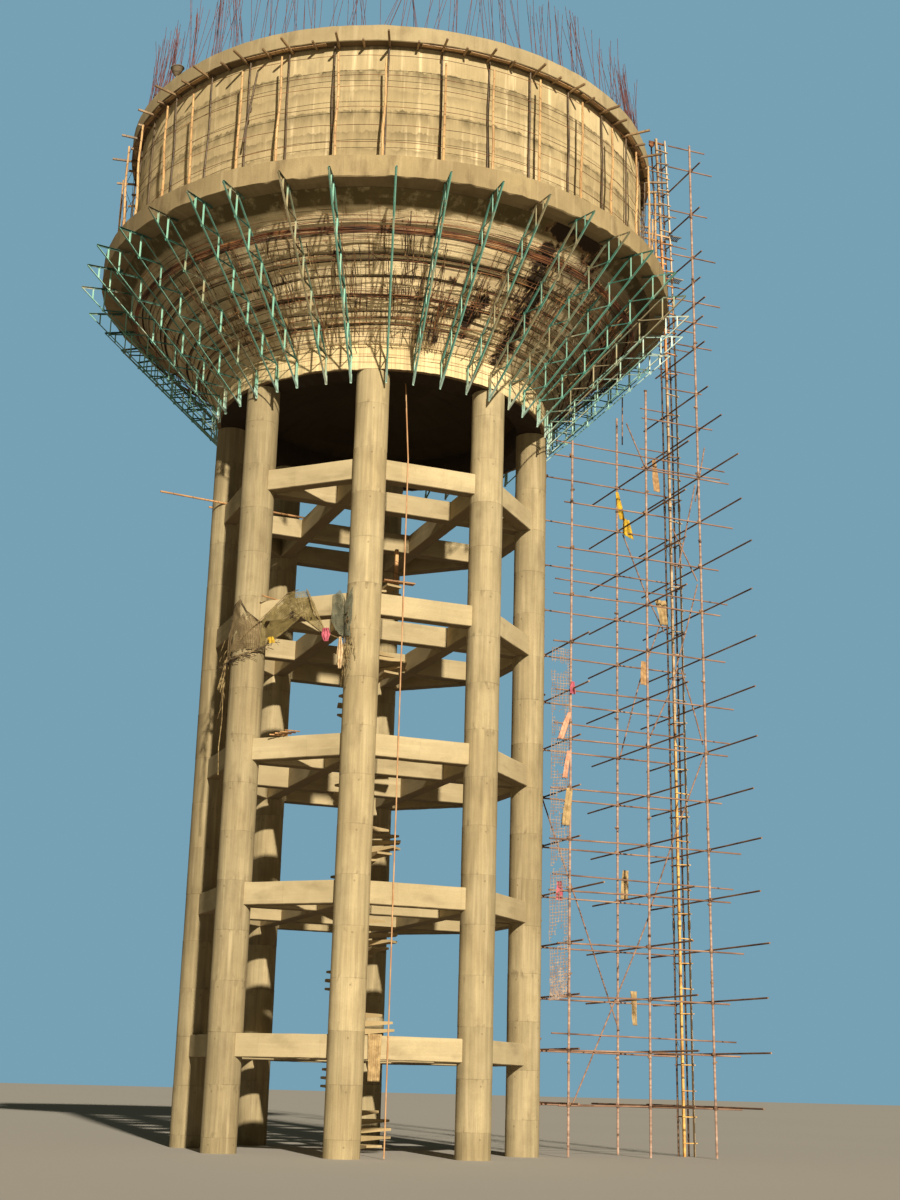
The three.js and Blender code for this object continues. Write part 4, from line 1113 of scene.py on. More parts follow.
# Gallery poles: thirty-six bamboo poles on the gallery, tied by thin steel hoops, with darker
# props behind them that reach the kerb's soffit, where wooden pegs stand out.
POLES = 36
GALLERY_TOP = 23.31
POLE_CIRCLE = 7.7
PROP_CIRCLE = 7.36
POLE_HOOPS = [(24.35, 7.66), (25.42, 7.655), (26.3, 7.66)]
PROP_HOOPS = [(24.02, 7.42), (25.0, 7.42), (25.9, 7.42)]
PEGS = 72
PEG_CIRCLE = 7.275
BOARDS = 40
BOARD_CIRCLE = 7.43
BOARD_LEVEL = 26.8


def bamboo_finish(name, pale, deep):
    """Dry bamboo or pole wood, with darker rings at its nodes."""
    f = Finish(name, 0.6)
    patch = f.cloud(1.3, detail=4.0)
    fibre = f.cloud(1.0, f.drawn((60.0, 60.0, 2.5)), 3.0)
    shift = f.times(f.cloud(0.9, f.drawn((1.0, 1.0, 0.0)), 1.0), 6.0)
    ring = f.span(f.calc("PINGPONG", f.plus(f.level(), shift), 0.17), 0.02, 0.006)
    colour = f.stained(deep, patch, 0.38, 0.62, pale)
    colour = f.stained(colour, fibre, 0.45, 0.7, deep, 0.5)
    colour = f.blend(f.times(ring, 0.8), colour, (0.1, 0.05, 0.02))
    return f.dress(colour, f.less(f.times(fibre, 0.4), ring), 0.003)


pole_wood = bamboo_finish("pole_bamboo", (0.68, 0.43, 0.18), (0.42, 0.23, 0.085))
prop_wood = bamboo_finish("prop_wood", (0.15, 0.10, 0.05), (0.07, 0.045, 0.024))


def pole_mould(name, length, low, high, finish, joints, crook):
    """A round pole with a swell at each node and a slight crook."""
    casting = Casting()
    heights = [0.0]
    for k in range(1, joints + 1):
        middle = length * k / (joints + 1)
        heights += [middle - 0.02 * length / 3, middle, middle + 0.02 * length / 3]
    heights.append(length)
    grid = []
    for k, z in enumerate(heights):
        swell = 1.16 if 0 < k < len(heights) - 1 and k % 3 == 2 else 1.0
        radius = (low + (high - low) * z / length) * swell
        bend = crook * math.sin(2.1 * z + 0.4) * math.sin(math.pi * z / length)
        grid.append([(bend + radius * c, 0.6 * bend + radius * s, z) for c, s in unit_circle(8)])
    casting.shell(grid, np.linspace(0.0, 0.25, 9), np.array(heights))
    return casting.piece(name, finish)


pole_places = []
prop_places = []
for k in range(POLES):
    tall = 1.0 + 0.05 * math.sin(k * 7.7)
    angle = 360.0 / POLES * k
    foot = plan(angle + 0.8 * math.sin(k * 3.3), POLE_CIRCLE, GALLERY_TOP)
    pole_places.append((foot, (0, 0, math.radians(37 * k)), (0.95, 0.95, tall)))
    foot = plan(angle + 0.8 * math.sin(k * 5.1), PROP_CIRCLE, GALLERY_TOP)
    prop_places.append((foot, (0, 0, math.radians(53 * k)), (1, 1, 1)))
mould = pole_mould("pole", 2.98, 0.04, 0.028, pole_wood, 8, 0.03)
poles = copies("gallery_poles", mould, pole_places, pole_wood, lean=0.012, seed=7)
seat(poles, "gallery_poles_")
mould = pole_mould("prop", 3.5, 0.026, 0.022, prop_wood, 7, 0.02)
seat(copies("gallery_props", mould, prop_places, prop_wood, lean=0.01, seed=8))
hoops = [(hoop(radius, height), True, 1.0) for height, radius in POLE_HOOPS + PROP_HOOPS]
seat(bars("gallery_hoops", hoops, 0.014, rod_rust, sides=5, wander=0.08, seed=2))

lean_runs = [([plan(-48.9, 7.52, 24.35), plan(-47.6, 7.56, 25.3), plan(-46.1, 7.62, 26.2)], False, 1.0)]
lean_runs += [([plan(-47.75, 7.53, 25.16), plan(-47.55, 7.54, 25.28)], False, 1.6)]
seat(bars("leaning_tube", lean_runs, 0.05, prop_wood, sides=8))

peg_wood = bamboo_finish("peg_wood", (0.36, 0.235, 0.115), (0.15, 0.09, 0.042))
peg = Casting()
grid = [[(x, y * s, z * s) for y, z in ((-0.026, -0.024), (0.024, -0.026), (0.027, 0.023), (-0.023, 0.026))]
        for x, s in ((0.0, 0.96), (0.02, 1.0), (0.5, 1.04), (0.98, 1.0), (1.0, 0.94))]
peg.shell(grid, np.linspace(0.0, 0.2, 5), np.array([0.0, 0.02, 0.5, 0.98, 1.0]))
chance = random.Random(31)
places = []
for k in range(PEGS):
    long = k % 2 == 0
    reach = chance.uniform(0.62, 0.85) if long else chance.uniform(0.30, 0.48)
    angle = 360.0 / PEGS * k + chance.uniform(-0.4, 0.4)
    height = 26.765 if long else 26.785
    turn = (0, chance.uniform(-0.03, 0.02), math.radians(angle - 90 + chance.uniform(-4, 4)))
    places.append((plan(angle, PEG_CIRCLE, height), turn, (reach, 1, 1)))
seat(copies("kerb_pegs", peg.piece("peg", peg_wood), places, peg_wood, lean=0.03, seed=5))
board_wood = bamboo_finish("board_wood", (0.50, 0.30, 0.13), (0.20, 0.12, 0.055))
board = Casting()
grid = [[(x, y, z) for y, z in ((-0.05, -0.009), (0.05, -0.009), (0.05, 0.009), (-0.05, 0.009))]
        for x in (-0.5, -0.25, 0.0, 0.25, 0.5)]
board.shell(grid, np.linspace(0.0, 0.24, 5), np.linspace(0, 1, 5))
places = []
for k in range(BOARDS):
    if chance.random() < 0.8:
        angle = 360.0 / BOARDS * k + chance.uniform(-1, 1)
        places.append((plan(angle, BOARD_CIRCLE, BOARD_LEVEL), (0, 0, math.radians(angle)), (1.1, 1, 1)))
mould = board.piece("soffit_board", board_wood)
seat(copies("soffit_boards", mould, places, board_wood, lean=0.01))

# Mortar pan: a dented steel pan that was left on its stake, on the kerb's outer edge.
pan_steel = rust_finish("pan_steel", (0.05, 0.04, 0.025), (0.16, 0.12, 0.07), (0.30, 0.22, 0.12))
pan_foot = plan(-70.7, 7.42)
PAN_TILT = 0.02
profile = [
    (0.001, 27.25), (0.035, 27.25), (0.035, 27.38), (0.085, 27.43), (0.13, 27.52), (0.165, 27.61),
    (0.185, 27.62), (0.182, 27.635), (0.155, 27.625), (0.12, 27.54), (0.08, 27.455), (0.001, 27.44),
]
pan = Casting()
grid = [[(pan_foot.x + r * c, pan_foot.y + r * s, z + PAN_TILT * c) for c, s in unit_circle(24)]
        for r, z in profile]
pan.shell(waver(np.array(grid), 0.1, 0.004), np.linspace(0.0, 1.0, 25), np.linspace(0.0, 0.6, len(profile)))
seat(pan.piece("mortar_pan", pan_steel))

# Starter bars: thin steel bars for the roof that are cast into the kerb all round. They lean in
# over the tank and aside in bunches, so neighbours cross at their tips.
BAR_RADIUS = 0.0066
BAR_BEND = 0.05
BAR_CIRCLE = 7.17
BAR_FOOT = 27.25
LONE_BARS = 100
bar_rust = rust_finish("bar_rust", (0.06, 0.022, 0.024), (0.15, 0.05, 0.045), (0.25, 0.085, 0.055))
bar = Casting()
heights = [0.0, 0.35, 0.7, 1.0]
grid = [[(BAR_BEND * z * z + BAR_RADIUS * c, BAR_RADIUS * s, z) for c, s in unit_circle(5)]
        for z in heights]
bar.shell(grid, np.linspace(0.0, 0.06, 6), np.array(heights))
chance = random.Random(17)
places = []
angle = 0.0
while angle < 360.0:
    bunched = 235 < angle < 300 or 40 < angle < 80
    angle += chance.uniform(5.0, 8.0) if bunched else chance.uniform(2.6, 4.4)
    leaning = chance.choice([-0.22, -0.12, -0.04, 0.06, 0.14, 0.24])
    if 225 < angle < 300 or 48 < angle < 75:
        leaning = chance.uniform(0.02, 0.30)
    tall = chance.uniform(2.9, 3.2) if 235 < angle < 300 else chance.uniform(2.2, 2.95)
    for strand in range(chance.randint(8, 13) if bunched else chance.randint(2, 5)):
        sideways = leaning + chance.gauss(0, 0.06)
        outward = chance.gauss(-0.17, 0.06)
        radius = chance.choice([BAR_CIRCLE, BAR_CIRCLE, BAR_CIRCLE + 0.16])
        height = tall * chance.uniform(0.72, 1.0)
        at = angle + chance.gauss(0, 0.8)
        turn = (sideways, outward, math.radians(at - 90))
        places.append((plan(at, radius, BAR_FOOT), turn, (1, 1, height)))
for k in range(LONE_BARS):
    at = 360.0 / LONE_BARS * k + chance.uniform(-1.2, 1.2)
    turn = (chance.gauss(0, 0.05), chance.gauss(-0.08, 0.04), math.radians(at - 90))
    places.append((plan(at, BAR_CIRCLE, BAR_FOOT), turn, (1, 1, chance.uniform(1.2, 2.7))))
starters = copies("starter_bars", bar.piece("starter_bar", bar_rust), places, bar_rust, seed=6)
seat(starters, "starter_bars_")

# Hoist mast: four legs of steel pipe joined every 2 m, with a rung every 0.67 m in front, closer
# beside the tank, and thin lacing behind. Bars tie it to the kerb and the gallery. It leans
# slightly to the tower, as the scaffold does.
MAST = Vector((9.23, -0.42, 0.0))
MAST_HALF = 0.155
MAST_TOP = 30.3
LEG_LENGTH = 2.0267
LEG_PIECES = 15
LEAN = -0.0125
BOW = 0.0019
BOW_FROM = 20.0
RUNG_GAP = 0.67
TOP_RUNG_GAP = 0.46
TOP_RUNGS_FROM = 24.0
LEVEL_WAY = (0, 0, 1)
TIE_STARTS = [(29.2, 8.2), (28.5, 8.3), (27.7, 8.25), (25.6, 8.2), (24.7, 8.35)]


def mast_finish():
    """Old paint and rust: golden below, beige further up and bright orange beside the gallery.
    The thin leg is paler (tone 1)."""
    f = Finish("mast_rust", 0.8)
    patch = f.cloud(1.0, f.drawn((2.0, 2.0, 3.5)), 4.0, 0.65)
    wear_and_light = f.span(patch, 0.40, 0.60)
    level = f.level()
    colour = f.blend(wear_and_light, (0.24, 0.14, 0.07), (0.58, 0.41, 0.23))
    gold = f.blend(wear_and_light, (0.46, 0.23, 0.06), (0.8, 0.48, 0.13))
    colour = f.stained(colour, level, 12.5, 9.5, gold)
    orange = f.blend(wear_and_light, (0.42, 0.16, 0.05), (0.78, 0.38, 0.14))
    beside = f.times(f.span(level, 22.0, 22.8), f.span(level, 27.2, 26.6))
    colour = f.blend(beside, colour, orange)
    colour = f.stained(colour, f.own("tone"), 0.6, 1.0, (0.74, 0.62, 0.45), 0.6)
    return f.dress(colour, f.cloud(60.0, detail=2.0), 0.0015)


mast_rust = mast_finish()
dull_rust = rust_finish("dull_rust", (0.075, 0.036, 0.021), (0.24, 0.135, 0.078), (0.42, 0.27, 0.165))


def leaned(x, y, z):
    return Vector((x + LEAN * z, y, z))


def bowed(x, y, z):
    """The mast leans as the scaffold does, and its top bows in to the tank."""
    return leaned(x - BOW * max(0.0, z - BOW_FROM) ** 2, y, z)


def on_mast(aside, ahead, z):
    """A point of the mast at a height, so many half widths to the right and to the back."""
    return bowed(MAST.x + aside * MAST_HALF, MAST.y + ahead * MAST_HALF, z)


mast = Casting()
lacing = Casting()
corners = [(-1, -1), (1, -1), (1, 1), (-1, 1)]
# Painted shade: the two back legs are made in the darker dull rust of the lacing.
legs = [(mast, 0.068, 0.3), (mast, 0.046, 1.0), (lacing, 0.04, 0.5), (lacing, 0.04, 0.5)]
for (cx, cy), (leg, wide, tone) in zip(corners, legs):
    for k in range(LEG_PIECES):
        low = LEG_LENGTH * k
        top = on_mast(cx, cy, low + LEG_LENGTH - 0.002)
        add_bar(leg, on_mast(cx, cy, low), top, wide, 0.9 * wide, "flat", (-cx, 0, 0), tone)
        if k % 3 == 0 and k:
            below, above = on_mast(cx, cy, low - 0.12), on_mast(cx, cy, low + 0.12)
            add_bar(leg, below, above, wide + 0.014, wide + 0.01, "flat", (-cx, 0, 0))
height = 0.35
row = 0
while height < MAST_TOP:
    gap = RUNG_GAP if height < TOP_RUNGS_FROM else TOP_RUNG_GAP
    for side in range(4):
        a = on_mast(*corners[side], height)
        b = on_mast(*corners[(side + 1) % 4], height + 0.03 * math.sin(row * 3.1))
        over = (b - a).normalized() * 0.06
        if side == 0:
            ahead = Vector((0, -0.045, 0))
            add_bar(mast, a + ahead - over, b + ahead + over, 0.042, 0.024, "flat", LEVEL_WAY)
        elif row % 2:
            add_bar(lacing, a - over, b + over, 0.03, 0.012, turn=LEVEL_WAY)
        if side == 2 and row % 3 == 0 and height + gap < MAST_TOP:
            top = bowed(b.x - LEAN * height, b.y, height + gap)
            add_bar(lacing, a, top, 0.014, 0.004, "flat", LEVEL_WAY)
    height += gap
    row += 1
for side in (-1, 1):
    y = MAST.y + side * MAST_HALF
    add_bar(mast, (7.523, y, 27.05), on_mast(1, side, 27.05), 0.045, 0.006)
    add_bar(lacing, (8.03, y, 23.9), on_mast(0, side, 23.9), 0.04, 0.006)
    add_bar(mast, (7.523, y, 26.3), on_mast(1, side, 26.3), 0.045, 0.006)
for z, x in TIE_STARTS:
    end = bowed(MAST.x + 0.2, MAST.y - 0.2, z + 0.02)
    add_bar(mast, (x, MAST.y - 0.2, z), end, 0.034, 0.02, "flat", LEVEL_WAY)
seat(mast.piece("hoist_mast", mast_rust), "hoist_mast")
seat(lacing.piece("mast_lacing", dull_rust))
head = Casting()
wheel = [(0.09, -0.03), (0.065, -0.012), (0.065, 0.012), (0.09, 0.03)]
grid = [[bowed(9.0 + r * c, MAST.y + y, 30.27 + r * s) for c, s in unit_circle(16)] for r, y in wheel]
head.shell(grid, np.linspace(0.0, 0.6, 17), np.linspace(0, 0.1, 4))
add_bar(head, bowed(8.9, MAST.y, 30.36), bowed(9.5, MAST.y, 30.36), 0.05, 0.006)
seat(head.piece("mast_pulley", rod_rust))

# Mast steps: two small trays of steel slats that stand out from the mast's right side.
TRAY_LONG = 0.42
TRAY_DEEP = 0.26
TRAY_LEVELS = (27.15, 25.72)
SLATS = 8
SLAT_GAP = 0.053
step_steel = rust_finish("step_steel", (0.10, 0.085, 0.07), (0.24, 0.20, 0.16), (0.42, 0.36, 0.29))
trays = Casting()
for z in TRAY_LEVELS:
    corner = bowed(MAST.x + MAST_HALF, MAST.y - TRAY_DEEP / 2, z)
    for y in (0.0, TRAY_DEEP):
        add_bar(trays, corner + Vector((-0.08, y, 0)), corner + Vector((TRAY_LONG, y, 0)), 0.03, 0.005)
    for slat in range(SLATS):
        start = corner + Vector((0.02 + SLAT_GAP * slat, -0.02, 0.016))
        add_bar(trays, start, start + Vector((0, TRAY_DEEP + 0.04, 0)), 0.008, 0.03, "flat", (1, 0, 0))
seat(trays.piece("mast_steps", step_steel))

# Scaffold: steel tubes in two rows between the tower and the mast, joined by couplers. Ledgers
# and 6 m transoms cross at every 1.34 m, and their ends run far past the joints.
FAR_LEDGERS = -0.2327
FAR_ROW = -0.1857
NEAR_ROW = -2.0
NEAR_LEDGERS = -1.953
FIRST_ROW = 4.97
SECOND_ROW = 7.3
OUTER_ROW = 9.23
FIRST_LEVEL = 1.25
LEVEL_GAP = 1.34
LEVELS = 14
tube_rust = rust_finish("tube_rust", (0.22, 0.12, 0.075), (0.42, 0.26, 0.18), (0.56, 0.38, 0.27), 0.7)
ledger_rust = rust_finish("ledger_rust", (0.12, 0.058, 0.032), (0.30, 0.165, 0.10), (0.44, 0.27, 0.17), 0.7)
chance = random.Random(41)
standards, ledgers, transoms, sleeves, joints = [], [], [], [], []


def add_transom(x, near, far, z):
    """A tube across the rows, clamped beside a standard and on the ledgers."""
    transoms.append(([(x + 0.05, near, z + 0.047), (x + 0.05, far, z + 0.047)], False, 0.95))


for x, near_top, far_top in ((FIRST_ROW, 19.15, 19.0), (SECOND_ROW, 21.1, 20.9)):
    for y, top in ((NEAR_ROW, near_top), (FAR_ROW, far_top)):
        standards.append(([(x, y, z) for z in np.linspace(0.02, top, 9)], False, 1.0))
        first = 1.9 + chance.uniform(0, 1)
        sleeves += [(x, y, z) for z in np.arange(first, top, chance.choice([2.2, 3.1]))]
standards.append(([leaned(OUTER_ROW, NEAR_ROW, z) for z in np.linspace(0.02, 29.45, 12)], False, 1.0))
sleeves += [tuple(leaned(OUTER_ROW, NEAR_ROW, z)) for z in np.arange(2.4, 28.0, 2.05)]
for level in range(LEVELS):
    z = FIRST_LEVEL + LEVEL_GAP * level
    x0 = 4.62 + chance.uniform(-0.25, 0.15)
    x1 = 10.0 + chance.uniform(-0.45, 0.2)
    run = [(x0, NEAR_LEDGERS, z), (7.0, NEAR_LEDGERS, z + 0.02), (x1, NEAR_LEDGERS, z)]
    ledgers.append((run, False, 0.9))
    x0 = 4.72 if level < 2 else 4.4 + chance.uniform(0.0, 0.3)
    x1 = 9.3 + chance.uniform(-0.25, 0.3)
    run = [(x0, FAR_LEDGERS, z + 0.01), (7.0, FAR_LEDGERS, z), (x1, FAR_LEDGERS, z - 0.01)]
    ledgers.append((run, False, 0.9))
    if level % 3 == 1:
        ledgers.append(([(4.5, NEAR_LEDGERS, z + 0.42), (9.9, NEAR_LEDGERS, z + 0.36)], False, 0.8))
    for x in (FIRST_ROW, SECOND_ROW):
        near = -4.15 + chance.uniform(-0.35, 0.3)
        far = 1.7 + chance.uniform(-0.3, 0.2)
        if x < SECOND_ROW:
            near, far = chance.choice([-2.5, -2.7, -3.0, -3.9]), 1.0
        if x == SECOND_ROW or z < 14.0:
            add_transom(x, near, far, z)
        joints += [(x, NEAR_ROW, z), (x, FAR_ROW, z)]
high_transoms = []
for level in range(LEVELS - 1):
    z = FIRST_LEVEL + LEVEL_GAP * level
    near = -4.5 + chance.uniform(-0.4, 0.3)
    high_transoms.append((z, near, 1.6 + chance.uniform(-0.4, 0.3)))
high_transoms += [
    (18.67, -4.12, 1.6), (20.13, -3.3, 1.5), (21.27, -2.59, 1.3), (22.73, -2.48, 0.5),
    (23.56, -2.45, 0.2), (24.11, -2.59, -0.2), (24.86, -2.35, -0.6), (25.66, -2.47, -0.6),
    (27.13, -2.43, -0.6), (28.58, -2.52, -0.5),
]
for z, near, far in high_transoms:
    x = leaned(OUTER_ROW, 0, z).x
    add_transom(x, near, far, z)
    joints.append((x, NEAR_ROW, z))
high_ledgers = [
    (18.75, 7.2, 9.74), (20.25, 7.2, 9.51), (21.31, 7.9, 9.17), (22.79, 8.35, 9.54), (23.57, 8.35, 9.75),
    (24.25, 8.35, 9.86), (25.7, 8.25, 9.73), (27.15, 8.2, 9.47), (28.6, 8.15, 9.65), (29.31, 8.15, 9.41),
]
for z, x0, x1 in high_ledgers:
    ledgers.append(([(x0, NEAR_LEDGERS, z), (x1, NEAR_LEDGERS, z + 0.02)], False, 0.85))
short_ledgers = [
    (20.05, 8.05, 9.2), (21.35, 8.06, 9.2), (22.76, 8.7, 9.95), (23.5, 8.7, 9.75), (24.18, 8.7, 9.96),
    (25.6, 8.6, 9.63), (27.0, 8.47, 9.73), (28.0, 8.45, 9.36), (29.6, 8.3, 9.0),
]
ledgers += [([(x0, FAR_LEDGERS, z), (x1, FAR_LEDGERS, z)], False, 0.75) for z, x0, x1 in short_ledgers]
near_braces = [
    [(8.95, 18.5), (8.5, 16.5), (8.36, 15.9)], [(8.2, 17.05), (8.98, 15.6)],
    [(8.98, 15.5), (8.62, 14.2), (8.28, 13.05)], [(8.42, 12.95), (8.75, 12.0), (9.08, 10.9)],
    [(7.3, 10.7), (8.0, 12.15), (8.3, 13.0)], [(9.28, 19.7), (8.95, 18.0)],
    [(5.15, 1.3), (7.0, 5.3), (7.4, 6.2)], [(7.4, 6.3), (8.2, 8.4), (9.1, 10.6)],
]
far_braces = [
    [(7.5, 17.3), (8.23, 15.63), (8.85, 14.5)], [(7.37, 10.6), (8.02, 12.9), (8.68, 14.63)],
    [(7.63, 20.81), (8.23, 19.57)], [(5.0, 9.3), (6.2, 6.2), (7.35, 3.2)], [(7.49, 20.1), (7.5, 21.7)],
]
for side, runs in ((NEAR_LEDGERS + 0.07, near_braces), (FAR_LEDGERS + 0.07, far_braces)):
    ledgers += [([(x, side, z) for x, z in run], False, 0.8) for run in runs]
scaffold = bars("scaffold_standards", standards, 0.064, tube_rust, sides=10, wander=0.03, seed=3)
seat(scaffold, "scaffold_")
seat(bars("scaffold_ledgers", ledgers, 0.05, ledger_rust, sides=8, wander=0.03, seed=3))
# The transoms take the darkest rust, partly for rust and partly as painted shade.
seat(bars("scaffold_transoms", transoms, 0.05, dull_rust, sides=8, wander=0.03, seed=3))
clamp = Casting()
for low, high, r, shift in ((-0.04, 0.04, 0.047, 0.0), (0.01, 0.08, 0.038, 0.035)):
    grid = [[(shift + r * c, shift + r * s, z) for c, s in unit_circle(8)] for z in (low, high)]
    clamp.shell(grid, np.linspace(0.0, 0.25, 9), np.array([0.0, 0.07]))
places = [(place, (chance.uniform(-0.1, 0.1), 0, chance.uniform(0, 6.28)), (1, 1, 1)) for place in joints]
places += [(place, (0, 0, chance.uniform(0, 6.28)), (0.95, 0.95, 0.6)) for place in sleeves]
seat(copies("couplers", clamp.piece("clamp", dull_rust), places, dull_rust, lean=0.05))

# Riser pipe: a thin plastic pipe that stands in front of the front braces and leans in over
# the topmost one, to reach the tank.
riser_plastic = Finish("riser_plastic", 0.5)
dust = riser_plastic.cloud(2.2, detail=5.0)
riser_colour = riser_plastic.stained((0.42, 0.2, 0.075), dust, 0.4, 0.65, (0.6, 0.36, 0.17))
riser_dress = riser_plastic.dress(riser_colour, riser_plastic.cloud(30.0), 0.001)
RISER_X = -0.65
face = -BRACE_FACE - 0.0203
line = [(RISER_X, face, z) for z in np.linspace(0.015, 16.95, 24)]
line += [(RISER_X, -3.78, 18.6), (RISER_X, -3.64, 19.4)]
riser = bars("riser_pipe", [(line, False, 1.0)], 0.036, riser_dress, sides=12, wander=0.012, seed=5)
seat(riser, "riser_pipe")

# Debris net: a torn net of knotted cord that hangs on the front left brace of the fourth level,
# sagging between its ties, with straw caught in it. Scraps of it are wound round both columns,
# and a narrow net hangs down the scaffold.
NET_START = plan(-HALF_BAY - BAY, COLUMN_CIRCLE)
NET_END = plan(-HALF_BAY, COLUMN_CIRCLE)
NET_BAY = (NET_END - NET_START).length
OFF_BRACE = 0.066
OFF_COLUMN = 0.035
SHEET_THICKNESS = 0.004
net_run = (NET_END - NET_START).normalized()
net_out = Vector((net_run.y, -net_run.x, 0)).normalized()


def net_finish(name, pale, deep):
    """Thin knotted cord, dirty in patches."""
    f = Finish(name, 0.95)
    patch = f.cloud(5.0, detail=6.0, roughness=0.7)
    knots = f.cloud(70.0, detail=2.0)
    colour = f.stained(deep, patch, 0.38, 0.62, pale)
    colour = f.stained(colour, knots, 0.5, 0.7, deep, 0.5)
    return f.dress(colour, knots, 0.004)


def outline_at(points, s):
    return float(np.interp(s, [p[0] for p in points], [p[1] for p in points]))


def thin_sheet(name, points, faces, finish):
    """A sheet of net or cloth."""
    mesh = bpy.data.meshes.new(name)
    mesh.from_pydata(points, [], faces)
    mesh.materials.append(finish)
    mesh.shade_smooth()
    sheet = placed(name, mesh)
    skin = sheet.modifiers.new("Thickness", "SOLIDIFY")
    skin.thickness = SHEET_THICKNESS
    skin.offset = 0.0
    return seat(sheet)


def torn_net(name, top, low, where, finish, seed, cord=0.012, weave=3, tears=0.42):
    """A net that hangs between two edges, with a square hole between each two cords, torn open
    in places and bunched up along its foot. Its flat size is its length along the middle and
    its mean depth."""
    chance = random.Random(seed)
    wide = top[-1][0] - top[0][0]
    columns = round(wide / cord)
    reaches = [top[0][0] + wide * i / columns for i in range(columns + 1)]
    drops = [outline_at(top, s) - outline_at(low, s) for s in reaches]
    middles = [outline_at(top, s) - drop / 2 for s, drop in zip(reaches, drops)]
    depth = sum(drops) / len(drops)
    length = sum(math.hypot(wide / columns, q - p) for p, q in zip(middles, middles[1:]))
    rows = round(depth / cord)
    points, faces, keys = [], [], {}
    for i in range(columns):
        for j in range(rows):
            tear = ripple(i * 0.035, j * 0.05, seed) + 0.4 * ripple(i * 0.15, j * 0.15, 7.0)
            foot = max(0.0, 1.0 - (rows - 1 - j) / (0.12 * rows))
            cords = i % weave == 0 or j % weave == 0 or chance.random() < 0.7 * foot
            if tear > tears or not cords:
                continue
            loop = []
            for a, b in ((i, j), (i, j + 1), (i + 1, j + 1), (i + 1, j)):
                if (a, b) not in keys:
                    keys[a, b] = len(points)
                    s = reaches[a]
                    z = outline_at(top, s) - drops[a] * b / rows + 0.02 * ripple(s * 5, b * 0.2, seed)
                    fold = 0.03 * math.sin(9.0 * s + 2.0 * z) + 0.03 * ripple(s * 3, z * 3, seed)
                    points.append(where(s + 0.02 * ripple(z * 5, s * 4, seed), z, fold))
                loop.append(keys[a, b])
            faces.append(loop)
    net = thin_sheet(name, points, faces, finish)
    area = sum(polygon.area for polygon in net.data.polygons)
    return net, (length, depth), area


def beside_beam(s, z, fold):
    """A place s along the bay, off the beam's face and round the columns at its ends."""
    away = BRACE_WIDTH / 2 + OFF_BRACE
    for centre in (0.0, NET_BAY):
        inside = (COLUMN_RADIUS + OFF_COLUMN) ** 2 - (s - centre) ** 2
        away = max(away, math.sqrt(inside)) if inside > 0 else away
    return NET_START + net_run * s + net_out * (away + fold) + Vector((0, 0, z))


green_net = net_finish("green_net", (0.33, 0.245, 0.085), (0.16, 0.118, 0.036))
brown_net = net_finish("brown_net", (0.25, 0.172, 0.078), (0.16, 0.108, 0.045))
blue_net = net_finish("blue_net", (0.25, 0.245, 0.16), (0.11, 0.115, 0.075))
side_net = net_finish("side_net", (0.40, 0.30, 0.22), (0.22, 0.14, 0.10))
net_straw = rust_finish("net_straw", (0.09, 0.055, 0.022), (0.26, 0.175, 0.07), (0.46, 0.34, 0.15), 0.9)
fringe_fibre = rust_finish(
    "fringe_fibre", (0.022, 0.013, 0.007), (0.075, 0.048, 0.024), (0.22, 0.15, 0.07), 0.9,
)
straws, fringe = [], []
chance = random.Random(61)
straw_heaps = [
    (-0.05, 11.85, 0.25, 0.03, 60), (0.75, 12.18, 0.20, 0.06, 24), (1.45, 12.85, 0.12, 0.06, 34),
    (3.02, 11.9, 0.10, 0.30, 90), (-0.52, 11.5, 0.05, 0.30, 26),
]
for middle, height, wide, tall, count in straw_heaps:
    in_net = -0.3 < middle < 2.5
    for k in range(count):
        s = chance.gauss(middle, wide)
        z = chance.gauss(height, tall) + (0.3 * (s - middle) if middle < 1.3 else 0.0)
        reach = chance.uniform(0.10, 0.34)
        aside = reach * (chance.uniform(-1.0, 1.0) if in_net else chance.uniform(-0.4, 0.3))
        fall = reach * (chance.uniform(0.1, 0.5) if in_net else 0.9)
        run = [beside_beam(s, z, 0.01)]
        run.append(beside_beam(s + 0.5 * aside, z - 0.6 * fall, chance.uniform(0.02, 0.06)))
        run.append(beside_beam(s + aside, z - fall, chance.uniform(0.0, 0.04)))
        dark = middle < 0.0 and height > 11.6 or middle in (0.75, 1.45) and k % 2
        (fringe if dark else straws).append((run, False, chance.uniform(0.5, 1.3)))
net_top = [(0.46, 12.75), (0.52, 12.85), (1.18, 13.43), (1.75, 13.48), (2.05, 12.9), (2.28, 12.45)]
net_foot = [(0.46, 12.02), (1.12, 12.4), (1.62, 12.78), (2.28, 12.28)]
left_top = [(-0.44, 12.5), (-0.24, 13.2), (-0.05, 13.32), (0.15, 13.0), (0.44, 12.75)]
left_foot = [(-0.44, 11.72), (-0.2, 11.78), (0.44, 12.0)]
right_top = [(2.45, 13.3), (2.66, 13.38), (2.9, 13.05), (3.12, 13.4)]
right_foot = [(2.45, 12.6), (2.66, 12.22), (3.12, 12.1)]
for edge in (left_top, [left_top[0], left_foot[0]], left_foot, net_foot):
    fringe.append(([beside_beam(s, z, 0.015) for s, z in edge], False, 1.6))
ropes = [
    [(-0.44, 12.0), (0.1, 12.35), (0.5, 12.85), (1.18, 13.43), (1.5, 13.5)],
    [(1.74, 13.5), (1.95, 12.95), (2.36, 12.3)], [(-0.46, 11.9), (-0.5, 11.4), (-0.58, 11.0)],
    [(-0.44, 11.9), (-0.56, 11.45), (-0.66, 11.1)], [(2.36, 12.3), (2.8, 12.1), (3.1, 12.2)],
    [(-0.5, 11.2), (-0.48, 10.3), (-0.53, 9.6), (-0.5, 8.9)],
]
